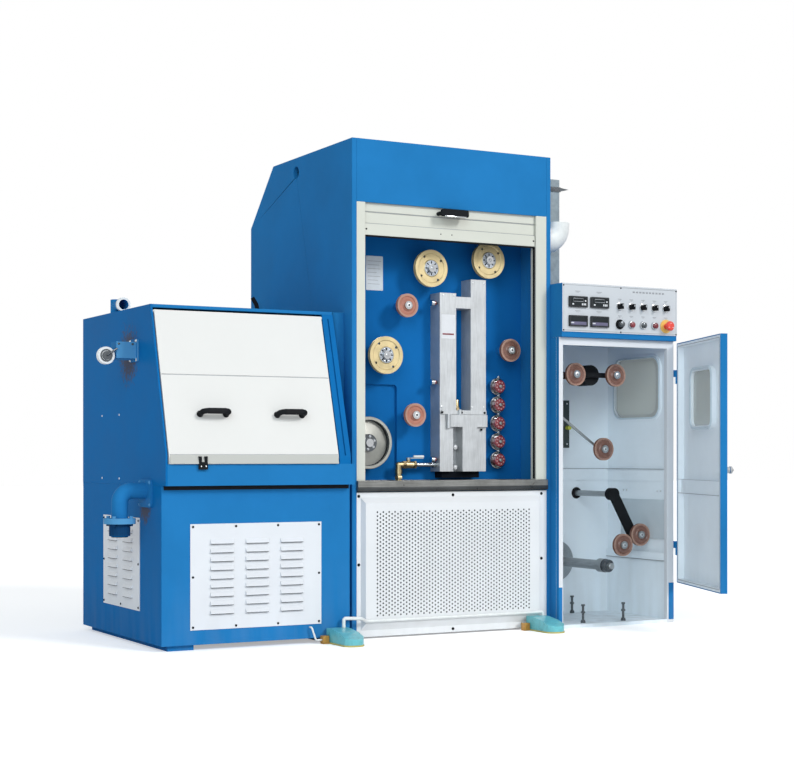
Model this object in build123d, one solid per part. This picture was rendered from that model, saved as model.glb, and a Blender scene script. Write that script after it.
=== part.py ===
from build123d import *
import math
import os

# Sizes are in millimetres. X runs to the right along the front, Y to the back, Z up from the floor.
# Places are given from the annealer's front left bottom corner. place_and_write moves the whole
# machine at the end, so that the origin lies on the floor under the middle of it.

# Clearances
run_gap = 0.3
move_gap = 5

# Annealer cabinet
annealer_width = 900
annealer_depth = 955
annealer_height = 1900
roof_depth = 723
rear_slope_drop = 233
wall = 20
skin = 3
pan_bottom = 7
pan_top = 556
sill_bottom = 560
sill_top = 600
sill_lip = 12
shutter_drop = 363
fascia_height = 240
fascia_thick = 10
base_front = 45
plate_front = 190
plate_thick = 12
casing_drop = 300
cable_hole_radius = 25
cable_hole_y = 499
cable_hole_drop = 60

# Shutter frame and roller shutter
post_left_width = 37
post_right_width = 50
post_depth = 40
slot_depth = 12
slat_front = 12
slat_thick = 10
slat_pitch = 45
slat_count = 3
bar_height = 43
shutter_handle_width = 120
shutter_handle_left = 373
shutter_handle_height = 28
shutter_handle_reach = 38
shutter_handle_drop = 262

# Perforated panel
pan_left_margin, pan_right_margin = 15, 30
pan_low_margin, pan_high_margin = 21, 16
pan_side_bevel = 15
pan_low_bevel, pan_high_bevel = 32, 25
pan_raise = 18

# Annealer wheels: centres across and up, in one plane of the wire
wire_plane = 115
sheave_centres = [(407, annealer_height - 463), (674, annealer_height - 417), (205, 1088)]
sheave_radius = 73
sheave_thick = 18
sheave_hub = 31
spoke_count = 8
capstan_centre = (133, 746)
capstan_radius = 102
capstan_thick = 50
capstan_plane = wire_plane + capstan_thick / 2
capstan_hub = 34
guide_centres = [(301, annealer_height - 614), (336, 856), (779, 1124)]
guide_radius = 46
guide_thick = 16
boss_radius = 40
stud_radius = 11
cap_height = 7.7
recess_left, recess_right = 60, 296
recess_low, recess_high = 607, 977

# Annealing block, its cover, terminals and cooling pipe
block_left = 450
block_right = 664
block_bottom = 633
block_top_drop = 497
block_left_step = 59
leg_left_width = 75
leg_right_width = 71
cross_drop = 13
cross_height = 46
slot_bottom = 877
cover_thick = 12
cover_low, cover_high = 811, 859
stem_left, stem_right = 548, 615
channel_left, channel_deep = 511, 40
knob_low, knob_middle = 681, 988
knob_top_drop = 41
knob_radius = 12
channel_bolts = (650, 730)
terminal_count = 5
terminal_pitch = 75
terminal_across = 750
terminal_low = 678
terminal_ring = 31
terminal_cap = 22.5
pipe_y = 150
pipe_z = 660
pipe_radius = 8.5
elbow_x = 282
valve_x = 326
lever_length = 66

# Exhaust elbow and trunking on the right wall
exhaust_radius = 53
exhaust_wall = 4
exhaust_y = 70
exhaust_drop = 325
exhaust_out = 75
exhaust_rise = 73
exhaust_bend = 56
trunk_width = 128
trunk_front, trunk_back = 126, 186
trunk_drop = 62
clamp_drop = 50
clamp_height = 19

# Drawing unit
drawing_width = 778
drawing_front = -45
drawing_back = 844
drawing_top = 1242
foot_height = 20
foot_width = 100
front_right = -32
lip_front = -88
lip_bottom = 589
lip_top = 666
lid_fold = 31
slope_top_y = 68
tank_back = 150
trough_skin = 12
tank_roof = 12
left_plate = 7
right_plate = 45
right_plate_inset = 50
lid_skin = 4
lid_return = 22
lid_seam = 0.53
lid_pin_radius = 6
lid_pin_in = 5
lid_handle_xs = (-583, -281)
lid_handle_length = 120
lid_handle_reach = 40
lid_handle_radius = 10
lid_handle_along = 0.272
latch_x = -640
latch_width = 32
cone_xs = (-600, -260)
cone_z = 800
cone_steps = (60, 76, 92, 108)
cone_step = 26
louvre_width = 90
louvre_height = 16
louvre_reach = 9
front_louvre_size = (518, 379)
front_louvre_middle = (-411, 262.5)
front_louvre_pitch = (138, 31.4)
side_louvre_size = (406, 340)
side_louvre_middle = (379, 299)
side_louvre_pitch = (170, 34)

# Pipes and fittings on the drawing unit's left side
drain_y = 105
drain_z = 570
drain_reach = 102
drain_outer = 30
drain_inner = 24
drain_bend = 42
drain_end = 404
drain_flange = 57
drain_flange_z = 452
drain_bolts = 45
inlet_y = 232
inlet_z = 1082
inlet_width = 60
inlet_reach = 81
inlet_wheel_y = 210
inlet_wheel_z = 1060
inlet_wheel_out = 119
inlet_wheel_radius = 32
inlet_wheel_thick = 18
vent_in = 25
vent_y = 440
vent_radius = 24
vent_rim = 27

# Take-up unit
takeup_width = 575
takeup_front = -60
takeup_wall_y = 377
takeup_back = 790
takeup_top = 1172
frame_top_rail = 31
frame_right_stile = 34
frame_thick = 20
takeup_floor_top = 15
rail_low, rail_high = 588, 640
rail_proud = 4
kick_top = 261
box_front = -80
box_top = 1388
box_strip = 21
box_plate = 4
side_window_front, side_window_back = 11, 324
side_window_low, side_window_high = 860, 1109
side_window_corner = 45
window_trim = 14
trim_proud = 5
access_front, access_back = -7, 301
access_low, access_high = 350, 511
stud_xs = (1045, 1246)
stud_ys = (-20, 350)
anchor_radius = 5
anchor_top = 90

# Control panel: centres of the meters and of the two rows of knobs
meter_width, meter_height = 88, 44
meter_xs = (974, 1079)
meter_zs = (1314, 1237)
knob_first_x = 1181.5
knob_pitch = 58.5
knob_row_high, knob_row_low = 1304, 1231

# Door, hinged at its right edge and standing open
door_width = 575
door_thick = 27
door_bottom = 167
door_top = 1164
door_rim = 18
door_open = 68.5
door_proud = 3
hinge_out = 11
hinge_radius = 7
hinge_heights = (310, 1024)
hinge_half = 29
door_window_left, door_window_right = 446, 165
door_window_low, door_window_high = 802, 1050
door_rail_low, door_rail_high = 544, 598
lock_z = 641
lock_in = 30

# Take-up wheels, spindle, traverse and dancer
takeup_wire_plane = 75
wheel_radius = 47
wheel_thick = 15
top_wheel_z = 1032
top_wheel_xs = (1072, 1275)
bracket_x = 1178
bracket_left = 1005
bracket_hub = 43
bracket_hub_deep = 80
bracket_shaft = 9
bar_front, bar_back = 97, 115
spindle_x, spindle_z = 1172, 243
spindle_nose = -45
spindle_radius = 20
flange_radius = 87
traverse_x, traverse_z = 1287, 534
traverse_boss_y = 121
rod_radius = 12
rod_hole_radius = 24
rod_hole_deep = 30
rod_spare = 130
traverse_wheels = [(1402, 362), (1312.5, 321)]
arm_joint = (1387, 358)
dancer_pivot = (968, 895)
dancer_wheel_centre = (1214, 723)
sensor_left, sensor_right = 1100, 1195
sensor_low, sensor_high = 729, 932
sensor_front = 297
sensor_tip_z = 815

# Foot switches
switch_width = 85
switch_length = 180
switch_toe = 28
switch_base = 6
switch_inset = 3
switch_heel_height = 56
switch_toe_height = 26
left_switch = (-93, -48)
right_switch_x = 813
conduit_radius = 6.5
conduit_run_z = 70
lead_radius = 3.5

rear_slope_foot = annealer_height - rear_slope_drop
fascia_bottom = annealer_height - fascia_height
casing_bottom = annealer_height - casing_drop
shutter_bottom = annealer_height - shutter_drop
shutter_handle_z = annealer_height - shutter_handle_drop
cable_hole_z = annealer_height - cable_hole_drop
exhaust_z = annealer_height - exhaust_drop
exhaust_top = exhaust_z + exhaust_rise
trunk_top = annealer_height - trunk_drop
trunk_clamp_z = trunk_top - clamp_drop
block_right_top = annealer_height - block_top_drop
block_left_top = block_right_top - block_left_step
cross_top = block_left_top - cross_drop
cross_bottom = cross_top - cross_height
knob_heights = (knob_low, knob_middle, block_left_top - knob_top_drop)
inner_left = wall
inner_right = annealer_width - wall
inner_back = annealer_depth - wall
post_left_edge = inner_left + post_left_width
post_right_edge = inner_right - post_right_width
plate_back = plate_front + plate_thick
roof_under = annealer_height - wall

drawing_left = -drawing_width
tank_left = drawing_left + left_plate
plate_right = -right_plate_inset
plate_left = plate_right - right_plate
slope_low_z = lip_top + lid_fold
slope_run = slope_top_y - lip_front
slope_rise = drawing_top - slope_low_z
slope_turn = math.atan2(slope_rise, slope_run)
slope_length = math.hypot(slope_run, slope_rise)
pan_left, pan_right = inner_left + pan_left_margin, inner_right - pan_right_margin
pan_low, pan_high = pan_bottom + pan_low_margin, pan_top - pan_high_margin
bevel_run = skin + pan_raise
lid_left = tank_left + move_gap
lid_right = plate_left - move_gap
lid_hinge_y = slope_top_y + 2
lid_hinge_z = drawing_top - 26
drain_x = drawing_left - drain_reach
vent_x = drawing_left + vent_in
inlet_wheel_x = drawing_left - inlet_wheel_out

takeup_left = annealer_width
takeup_right = takeup_left + takeup_width
takeup_inner_left = takeup_left + wall
takeup_inner_right = takeup_right - wall
frame_back = takeup_front + frame_thick
opening_right = takeup_right - frame_right_stile
hinge_x = takeup_right + hinge_out
hinge_y = takeup_front - move_gap
door_right = takeup_right + door_proud
door_left = door_right - door_width
door_front = hinge_y - door_thick

CORNER = (Align.MIN, Align.MIN, Align.MIN)
STAND = (Align.CENTER, Align.CENTER, Align.MIN)


# Shapes that many pieces share

def block(x0, x1, y0, y1, z0, z1):
    """A box between two corners."""
    return Pos(x0, y0, z0) * Box(x1 - x0, y1 - y0, z1 - z0, align=CORNER)


def rod_x(y, z, radius, x0, x1):
    return Pos(x0, y, z) * Rot(0, 90, 0) * Cylinder(radius, x1 - x0, align=STAND)


def rod_y(x, z, radius, y0, y1):
    return Pos(x, y0, z) * Rot(-90, 0, 0) * Cylinder(radius, y1 - y0, align=STAND)


def rod_z(x, y, radius, z0, z1):
    return Pos(x, y, z0) * Cylinder(radius, z1 - z0, align=STAND)


def prism_x(points, x0, x1):
    """An outline of (Y, Z) points, extruded along X."""
    face = make_face(Polyline(*points, close=True))
    return Pos(x0, 0, 0) * extrude(Plane.YZ * face, x1 - x0)


def prism_y(points, y0, y1):
    """An outline of (X, Z) points, extruded along Y."""
    face = make_face(Polyline(*points, close=True))
    return Pos(0, y1, 0) * extrude(Plane.XZ * face, y1 - y0)


def turned_y(points, x, y, z):
    """An outline of (radius, distance back) points, turned about an axis along Y."""
    face = make_face(Polyline(*points, close=True))
    return Pos(x, y, z) * Rot(-90, 0, 0) * revolve(Plane.XZ * face, Axis.Z)


def rounded_y(x0, x1, z0, z1, radius, y0, y1):
    """A plate across Y with rounded corners."""
    face = RectangleRounded(x1 - x0, z1 - z0, radius)
    return Pos((x0 + x1) / 2, y1, (z0 + z1) / 2) * extrude(Plane.XZ * face, y1 - y0)


def rounded_x(y0, y1, z0, z1, radius, x0, x1):
    """A plate across X with rounded corners."""
    face = RectangleRounded(y1 - y0, z1 - z0, radius)
    return Pos(x0, (y0 + y1) / 2, (z0 + z1) / 2) * extrude(Plane.YZ * face, x1 - x0)


def tube(points, radius, bends, start):
    """A round bar along straight runs joined by arcs; start is the first run's direction."""
    path = FilletPolyline(*points, radius=bends)
    return sweep(Plane(origin=points[0], z_dir=start) * Circle(radius), path=path)


def elbow(x0, x1, y, z0, z1, radius, bend):
    """A round bar from x0 to x1 at height z0, round a bend, and on to the height z1."""
    side = 1 if x1 > x0 else -1
    up = 1 if z1 > z0 else -1
    turn_x, turn_z = x1 - side * bend, z0 + up * bend
    level = rod_x(y, z0, radius, min(x0, turn_x), max(x0, turn_x))
    upright = rod_z(x1, y, radius, min(turn_z, z1), max(turn_z, z1))
    face = Plane(origin=(turn_x, y, z0), z_dir=(side, 0, 0)) * Circle(radius)
    return level + upright + revolve(face, Axis((turn_x, y, turn_z), (0, -up * side, 0)), 90)


def sloped(x0, x1, up0, up1, out0, out1):
    """A box in the lid's own frame: along X, up the slope from its foot, and out of its face."""
    normal = (0, -math.sin(slope_turn), math.cos(slope_turn))
    frame = Plane(origin=(0, lip_front, slope_low_z), x_dir=(1, 0, 0), z_dir=normal)
    return frame * block(x0, x1, up0, up1, out0, out1)


def stud(x, z, wheel_front, wheel_back, seat):
    """The stud that a wheel turns on, with its cap in front and its shoulder behind, on a seat face."""
    shaft = rod_y(x, z, stud_radius, wheel_front - 6, wheel_back + run_gap)
    shaft += rod_y(x, z, stud_radius + 5, wheel_front - cap_height - run_gap, wheel_front - run_gap)
    shaft += rod_y(x, z, stud_radius + 9, wheel_back + run_gap, seat)
    return shaft


def grooved_wheel(radius, thick, hub, groove, x, y, z):
    """A wheel with a groove in its rim, a thin web and a hub, bored for its stud."""
    bore = stud_radius + run_gap
    half = thick / 2
    rim = radius - groove - 8
    web = half - 3
    lip = 4
    outline = [(bore, -half), (hub, -half), (hub + lip, -web), (rim, -web), (rim + 3, -half), (radius, -half),
               (radius, lip - half), (radius - groove, -3), (radius - groove, 3), (radius, half - lip),
               (radius, half), (rim + 3, half), (rim, web), (hub + lip, web), (hub, half), (bore, half)]
    return turned_y(outline, x, y, z)


# Annealer cabinet

def annealer_side_walls():
    outline = [(0, 0), (annealer_depth, 0), (annealer_depth, rear_slope_foot),
               (roof_depth, annealer_height), (0, annealer_height)]
    left = prism_x(outline, 0, inner_left)
    left -= rod_x(cable_hole_y, cable_hole_z, cable_hole_radius, -1, inner_left + 1)
    right = prism_x(outline, inner_right, annealer_width)
    right -= rod_x(exhaust_y, exhaust_z, exhaust_radius + run_gap, inner_right - 1, annealer_width + 1)
    return [left, right]


def annealer_hood():
    fascia = block(inner_left, inner_right, 0, fascia_thick, fascia_bottom, annealer_height)
    roof = block(inner_left, inner_right, fascia_thick, roof_depth - wall, roof_under, annealer_height)
    return fascia + roof


def annealer_rear_cover():
    roof_end = roof_depth - wall
    corner = wall * 0.4
    outline = [(roof_end, annealer_height), (roof_depth, annealer_height), (annealer_depth, rear_slope_foot),
               (annealer_depth, 0), (inner_back, 0), (inner_back, rear_slope_foot - corner),
               (roof_depth - corner, roof_under), (roof_end, roof_under)]
    return prism_x(outline, inner_left, inner_right)


def annealer_base():
    return block(inner_left, inner_right, base_front, inner_back, 0, sill_bottom)


def mounting_plate():
    """The upright plate that carries the wheels, with a recess behind the capstan."""
    plate = block(inner_left, inner_right, plate_front, plate_back, sill_bottom, roof_under)
    plate -= rounded_y(recess_left, recess_right, recess_low, recess_high, 15, plate_front - 1, plate_back + 1)
    margin = 20
    backing = block(recess_left - margin, recess_right + margin, plate_back, plate_back + 8,
                    recess_low - margin, recess_high + margin)
    return plate + backing


def sill_gutter():
    tray = block(inner_left, inner_right, -sill_lip, plate_front, sill_bottom, sill_top)
    tray -= block(inner_left + 10, inner_right - 10, post_depth + 6, plate_front - 10, sill_bottom + 8, sill_top + 1)
    return tray


def shutter_frame():
    """Two posts, each with a slot that guides the ends of the slats."""
    slot_front = slat_front - 2
    slot_back = slat_front + slat_thick + 2
    left = block(inner_left, post_left_edge, 0, post_depth, sill_top, fascia_bottom)
    left -= block(post_left_edge - slot_depth, post_left_edge + 1, slot_front, slot_back,
                  sill_top + 5, fascia_bottom + 1)
    right = block(post_right_edge, inner_right, 0, post_depth, sill_top, fascia_bottom)
    right -= block(post_right_edge - 1, post_right_edge + slot_depth, slot_front, slot_back,
                   sill_top + 5, fascia_bottom + 1)
    return [left, right]


def roller_shutter():
    """The rolled up shutter's bottom bar, the slats above it and its pull handle."""
    bar_top = shutter_bottom + bar_height
    bar = block(post_left_edge + 2, post_right_edge - 2, slat_front - 5, slat_front + slat_thick + 6,
                shutter_bottom, bar_top)
    left = post_left_edge - slot_depth + run_gap
    right = post_right_edge + slot_depth - run_gap
    back = slat_front + slat_thick
    made = bar
    slat_low = bar_top
    for i in range(slat_count):
        z0 = slat_low + i * slat_pitch
        z1 = z0 + slat_pitch
        outline = [(slat_front + 3, z0), (slat_front, z0 + 3), (slat_front, z1 - 3), (slat_front + 3, z1),
                   (back, z1), (back, z0)]
        made += prism_x(outline, left, right)
    handle_right = shutter_handle_left + shutter_handle_width
    for x in (shutter_handle_left + 10, handle_right - 10):
        made += rod_y(x, shutter_handle_z, 8, 14 - shutter_handle_reach, slat_front)
    half = shutter_handle_height / 2
    made += rounded_y(shutter_handle_left, handle_right, shutter_handle_z - half, shutter_handle_z + half, 8,
                      -shutter_handle_reach, 14 - shutter_handle_reach)
    return made


def shutter_casing():
    return block(inner_left, inner_right, post_depth, plate_front, casing_bottom, roof_under)


def perforated_panel():
    """A sheet panel with a raised field, pressed forward with bevelled edges."""
    flange = block(inner_left, inner_right, 0, skin, pan_bottom, pan_top)

    def outline(y, x0, x1, z0, z1):
        plane = Plane(((x0 + x1) / 2, y, (z0 + z1) / 2), x_dir=(1, 0, 0), z_dir=(0, -1, 0))
        return plane * Rectangle(x1 - x0, z1 - z0)

    def field(inset, front):
        foot = outline(skin, pan_left + inset, pan_right - inset, pan_low + inset, pan_high - inset)
        face = outline(front, pan_left + pan_side_bevel + inset, pan_right - pan_side_bevel - inset,
                       pan_low + pan_low_bevel + inset, pan_high - pan_high_bevel - inset)
        return loft([foot, face])

    return flange + field(0, -pan_raise) - field(skin, skin - pan_raise)


# Annealing block, terminals and cooling

def annealing_block():
    front, back = wire_plane, plate_front
    left_leg = block_left + leg_left_width
    right_leg = block_right - leg_right_width
    body = block(block_left, block_right, front, back, block_bottom, block_left_top)
    body += block(right_leg, block_right, front, back, block_bottom, block_right_top)
    body -= block(left_leg, right_leg, front - 1, back + 1, cross_top, block_left_top + 1)
    body -= block(left_leg, right_leg, front - 1, back + 1, slot_bottom, cross_bottom)
    body -= block(channel_left, stem_left, front - 1, front + channel_deep, block_bottom - 1, cover_low)
    cover_front = front - cover_thick
    body += block(block_left + 42, block_right, cover_front, front, cover_low, cover_high)
    body += block(stem_left, stem_right, cover_front, front, block_bottom, cover_low)
    body += block(block_left + 8, block_right, front - 5, front, cover_high + 2, slot_bottom)
    channel_middle = (channel_left + stem_left) / 2
    for z in channel_bolts:
        body += rod_y(channel_middle, z, 9, front + 12, front + channel_deep)
    body += rod_z(block_left + 36, front - 6, 8, cover_low - 5, cover_high + 2)
    body += rod_z(channel_middle + 8, front - 8, 7, cover_high, slot_bottom + 3)
    body += block(channel_middle, channel_middle + 16, front - 8, front, cover_high, slot_bottom)
    knob_y = front + 20
    for z in knob_heights:
        body += rod_x(knob_y, z, 5, block_left - 16, block_left)
        body += rod_x(knob_y, z, knob_radius, block_left - 30, block_left - 16)
    body += block(block_left + 20, block_right - 20, front + 20, back, block_bottom - 25, block_bottom)
    return body


def contact_terminals():
    made = []
    ring, cap = terminal_ring, terminal_cap
    depth = 42
    outline = [(0, 0), (cap - 2, 0), (cap, 2), (cap, 14), (ring - 2, 14), (ring, 16), (ring, depth), (0, depth)]
    for i in range(terminal_count):
        z = terminal_low + i * terminal_pitch
        made.append(turned_y(outline, terminal_across, plate_front - depth, z))
    return made


def cooling_pipe():
    """A pipe from an elbow in the gutter, through a valve, into the annealing block's left side."""
    pipe = rod_x(pipe_y, pipe_z, pipe_radius, elbow_x, block_left)
    pipe += rod_x(pipe_y, pipe_z, 14, valve_x - 20, valve_x + 20)
    pipe += rod_z(valve_x, pipe_y, 8, pipe_z, pipe_z + 20)
    pipe += rod_x(pipe_y, pipe_z, 12, block_left - 14, block_left)
    elbow = rod_z(elbow_x, pipe_y, 12, sill_bottom + 8, pipe_z)
    elbow += rod_x(pipe_y, pipe_z, 12, elbow_x, elbow_x + 18)
    elbow += Pos(elbow_x, pipe_y, pipe_z) * Sphere(12)
    elbow += rod_z(elbow_x, pipe_y, 15, pipe_z - 34, pipe_z - 20)
    return pipe + elbow


def valve_lever():
    z = pipe_z + 20 + run_gap
    lever = rod_z(valve_x, pipe_y, 9, z, z + 8)
    lever += block(valve_x, valve_x + lever_length, pipe_y - 6, pipe_y + 6, z + 4, z + 8)
    return lever


def shaft_bosses():
    made = []
    for x, z in sheave_centres:
        front, back = wire_plane - sheave_thick / 2, wire_plane + sheave_thick / 2
        boss = rod_y(x, z, boss_radius, back + 12, plate_front)
        made.append(stud(x, z, front, back, plate_front) + boss)
    x, z = capstan_centre
    front, back = capstan_plane - capstan_thick / 2, capstan_plane + capstan_thick / 2
    made.append(stud(x, z, front, back, plate_back) + rod_y(x, z, boss_radius, back + 8, plate_back))
    for x, z in guide_centres:
        front, back = wire_plane - guide_thick / 2, wire_plane + guide_thick / 2
        made.append(stud(x, z, front, back, plate_front))
    return made


def brass_sheave(i):
    """A grooved brass sheave with four round holes in its web and a hub with radial spokes."""
    x, z = sheave_centres[i]
    wheel = grooved_wheel(sheave_radius, sheave_thick, sheave_hub, 9, x, wire_plane, z)
    hole_ring = (sheave_hub + sheave_radius) / 2 + 2
    front = wire_plane - sheave_thick / 2
    for k in range(4):
        turn = math.radians(35 + 90 * k)
        wheel -= rod_y(x + hole_ring * math.cos(turn), z + hole_ring * math.sin(turn), 5,
                       front - 1, front + sheave_thick + 1)
    for k in range(spoke_count):
        slot = block(stud_radius + 7, sheave_hub - 3, -2.5, 2.5, 0, 4)
        wheel -= Pos(x, front + 3, z) * Rot(90, 0, 0) * Rot(0, 0, 360 / spoke_count * k) * slot
    return wheel


def steel_capstan():
    """A wide capstan with a bright rim, a ring groove, a dished face and a bolted hub."""
    x, z = capstan_centre
    half = capstan_thick / 2
    radius = capstan_radius
    bore = stud_radius + run_gap
    ring = radius - 12
    outline = [(bore, -half), (capstan_hub, -half), (capstan_hub + 1, 10 - half), (ring - 3, 20 - half),
               (ring - 3, 26 - half), (ring, 26 - half), (ring, -half), (radius - 2, -half), (radius, 2 - half),
               (radius, 8 - half), (radius - 7, 15 - half), (radius - 7, half - 15), (radius, half - 8),
               (radius, half), (bore, half)]
    wheel = turned_y(outline, x, capstan_plane, z)
    for k in range(6):
        turn = math.radians(60 * k + 20)
        wheel -= rod_y(x + 25 * math.cos(turn), z + 25 * math.sin(turn), 4,
                       capstan_plane - half - 1, capstan_plane - half + 5)
    return wheel


def guide_wheel(i):
    x, z = guide_centres[i]
    return grooved_wheel(guide_radius, guide_thick, 20, 5, x, wire_plane, z)


def exhaust_elbow():
    """A pipe elbow that leaves the right wall and turns up, open at the top."""
    up_x = annealer_width + exhaust_out
    bore = exhaust_radius - exhaust_wall
    pipe = elbow(inner_right, up_x, exhaust_y, exhaust_z, exhaust_top, exhaust_radius, exhaust_bend)
    return pipe - elbow(inner_right - 1, up_x, exhaust_y, exhaust_z, exhaust_top + 1, bore, exhaust_bend)


def trunking():
    right = annealer_width + trunk_width
    duct = block(annealer_width, right, trunk_front, trunk_back, box_top, trunk_top)
    band_top = trunk_clamp_z + clamp_height
    duct += block(annealer_width, right + 4, trunk_front - 4, trunk_back + 4, trunk_clamp_z, band_top)
    duct += prism_y([(right + 4, trunk_clamp_z + 2), (right + 4, band_top - 2), (right + 44, trunk_clamp_z + 12)],
                    trunk_front - 4, trunk_front)
    return duct


# Drawing unit

def drawing_base():
    body = block(drawing_left, front_right, drawing_front, drawing_back, foot_height, lip_bottom)
    inset = 30
    for x in (drawing_left + inset, -inset - foot_width):
        body += block(x, x + foot_width, drawing_front + 20, drawing_back - 20, 0, foot_height)
    return body


def drawing_rear_housing():
    """The closed gear housing behind the tank, with the roof and the end post in front of it."""
    body = block(tank_left, 0, tank_back, drawing_back, lip_bottom, drawing_top)
    roof = block(tank_left, plate_right, slope_top_y, tank_back, drawing_top - tank_roof, drawing_top)
    post = block(plate_right, 0, slope_top_y, tank_back, lip_top, drawing_top)
    return [body, roof, post]


def drawing_side_plates():
    left = prism_x([(lip_front, lip_bottom), (drawing_back, lip_bottom), (drawing_back, drawing_top),
                    (slope_top_y, drawing_top), (lip_front, slope_low_z)], drawing_left, tank_left)
    top = drawing_top - tank_roof
    top_y = slope_top_y - tank_roof * slope_run / slope_rise
    right = prism_x([(tank_back, top), (top_y, top), (lip_front, slope_low_z), (lip_front, lip_top),
                     (tank_back, lip_top)], plate_left, plate_right)
    groove_x = (plate_left + plate_right) / 2
    right -= sloped(groove_x - 3, groove_x + 3, 0, slope_length - 30, -5, 1)
    pin = rod_x(lid_hinge_y, lid_hinge_z, lid_pin_radius + run_gap, tank_left - lid_pin_in - run_gap,
                plate_left + lid_pin_in + run_gap)
    return [left - pin, right - pin]


def tank_trough():
    tray = block(tank_left, front_right, lip_front, tank_back, lip_bottom, lip_top)
    tray -= block(tank_left - 1, plate_left, lip_front + 10, tank_back + 1, lip_bottom + trough_skin, lip_top + 1)
    return tray


def tank_lid():
    """The sloped sheet lid with returns at its sides, a fold at its foot, a seam and a hinge rod."""
    top = slope_length - 21
    sheet = sloped(lid_left, lid_right, 0, top, -lid_return, 0)
    sheet -= sloped(lid_left + lid_skin, lid_right - lid_skin, -30, top - lid_skin, -lid_return - 1, -lid_skin)
    fold_back = lip_front + lid_return
    fold = block(lid_left, lid_right, lip_front, fold_back, lip_top + run_gap, slope_low_z)
    fold -= block(lid_left + lid_skin, lid_right - lid_skin, lip_front + lid_skin, fold_back + 1,
                  lip_top, slope_low_z + 1)
    seam = slope_length * lid_seam
    sheet -= sloped(lid_left - 1, lid_right + 1, seam, seam + 3, -1.5, 1)
    pin = rod_x(lid_hinge_y, lid_hinge_z, lid_pin_radius, tank_left - lid_pin_in, plate_left + lid_pin_in)
    return sheet + fold + pin


def lid_handles():
    """Two bridge handles on the lid and the latch that hooks over the tank's lip."""
    made = []
    normal = (0, -math.sin(slope_turn), math.cos(slope_turn))
    up = slope_length * lid_handle_along
    frame = Plane(origin=(0, lip_front, slope_low_z), x_dir=(1, 0, 0), z_dir=normal)
    half = lid_handle_length / 2 - lid_handle_radius
    for x in lid_handle_xs:
        points = [(x - half, up, 0), (x - half, up, lid_handle_reach), (x + half, up, lid_handle_reach),
                  (x + half, up, 0)]
        made.append(frame * tube(points, lid_handle_radius, 16, (0, 0, 1)))
    left, right = latch_x - latch_width / 2, latch_x + latch_width / 2
    latch = block(left, right, lip_front - 12, lip_front - 2, lip_top - 19, lip_top + 8)
    for x in (left, right - 10):
        latch += block(x, x + 10, lip_front - 10, lip_front - 2, lip_top + 8, lip_top + 28)
    latch += block(left + 4, right - 4, lip_front - 2, lip_front, lip_top + 4, lip_top + 26)
    made.append(latch)
    return made


def drawing_cones():
    """Two stepped drawing cones on their shafts, with the die holder between them."""
    made = []
    shaft = 32
    length = cone_step * len(cone_steps)
    for x in cone_xs:
        outline = [(0, 0)]
        for i, radius in enumerate(cone_steps):
            start = i * cone_step
            outline += [(radius - 3, start), (radius, start + 3), (radius, start + cone_step - 4),
                        (radius - 4, start + cone_step)]
        outline += [(30, length), (30, length + shaft), (0, length + shaft)]
        made.append(turned_y(outline, x, tank_back - length - shaft, cone_z))
    middle = (cone_xs[0] + cone_xs[1]) / 2
    holder = block(middle - 40, middle + 40, tank_back - 26, tank_back, lip_top + 40, lip_top + 200)
    for i in range(4):
        holder += rod_x(tank_back - 40 - 24 * i, cone_z, 11, middle - 14, middle + 14)
    holder += block(middle - 10, middle + 10, tank_back - 118, tank_back, cone_z - 24, cone_z - 4)
    made.append(holder)
    return made


def louvre_plate(width, height, columns, rows, pitch):
    """A cover plate that faces -Y, with louvre hoods open at their lower edge."""
    plate = block(-width / 2, width / 2, -skin, 0, -height / 2, height / 2)
    half = louvre_height / 2
    for i in range(columns):
        for k in range(rows):
            x = (i - (columns - 1) / 2) * pitch[0]
            z = (k - (rows - 1) / 2) * pitch[1]
            outline = [(-skin, z + half), (-skin - louvre_reach, z - half + 3), (-skin - louvre_reach, z - half),
                       (-skin, z - half)]
            plate += prism_x(outline, x - louvre_width / 2, x + louvre_width / 2)
    return plate


def louvre_panels():
    front = louvre_plate(*front_louvre_size, 3, 9, front_louvre_pitch)
    side = louvre_plate(*side_louvre_size, 2, 8, side_louvre_pitch)
    front_x, front_z = front_louvre_middle
    side_y, side_z = side_louvre_middle
    return [Pos(front_x, drawing_front, front_z) * front, Pos(drawing_left, side_y, side_z) * Rot(0, 0, -90) * side]


def drain_pipe():
    """The flanged drain elbow on the left side, open at the bottom, as plate, level run, bend and fall."""
    plate_x = drawing_left - 8
    turn_x, turn_z = drain_x + drain_bend, drain_z - drain_bend
    plate = rounded_x(drain_y - 60, drain_y + 60, drain_z - 60, drain_z + 40, 12, plate_x, drawing_left)
    level = rod_x(drain_y, drain_z, drain_outer, turn_x, plate_x)
    level -= rod_x(drain_y, drain_z, drain_inner, turn_x - 1, plate_x + 1)
    ring = Plane(origin=(turn_x, drain_y, drain_z), z_dir=(-1, 0, 0)) * Circle(drain_outer)
    ring -= Plane(origin=(turn_x, drain_y, drain_z), z_dir=(-1, 0, 0)) * Circle(drain_inner)
    bend = revolve(ring, Axis((turn_x, drain_y, turn_z), (0, -1, 0)), 90)
    fall = rod_z(drain_x, drain_y, drain_outer, drain_end, turn_z)
    fall += rod_z(drain_x, drain_y, drain_flange, drain_flange_z, drain_flange_z + 20)
    fall += rod_z(drain_x, drain_y, drain_outer + 8, drain_end + 6, drain_flange_z)
    for k in range(4):
        turn = math.radians(45 + 90 * k)
        x, y = drain_x + drain_bolts * math.cos(turn), drain_y + drain_bolts * math.sin(turn)
        fall += rod_z(x, y, 7, drain_flange_z - 8, drain_flange_z + 28)
    fall -= rod_z(drain_x, drain_y, drain_inner, drain_end - 1, turn_z + 1)
    return [plate, level, bend, fall]


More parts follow.
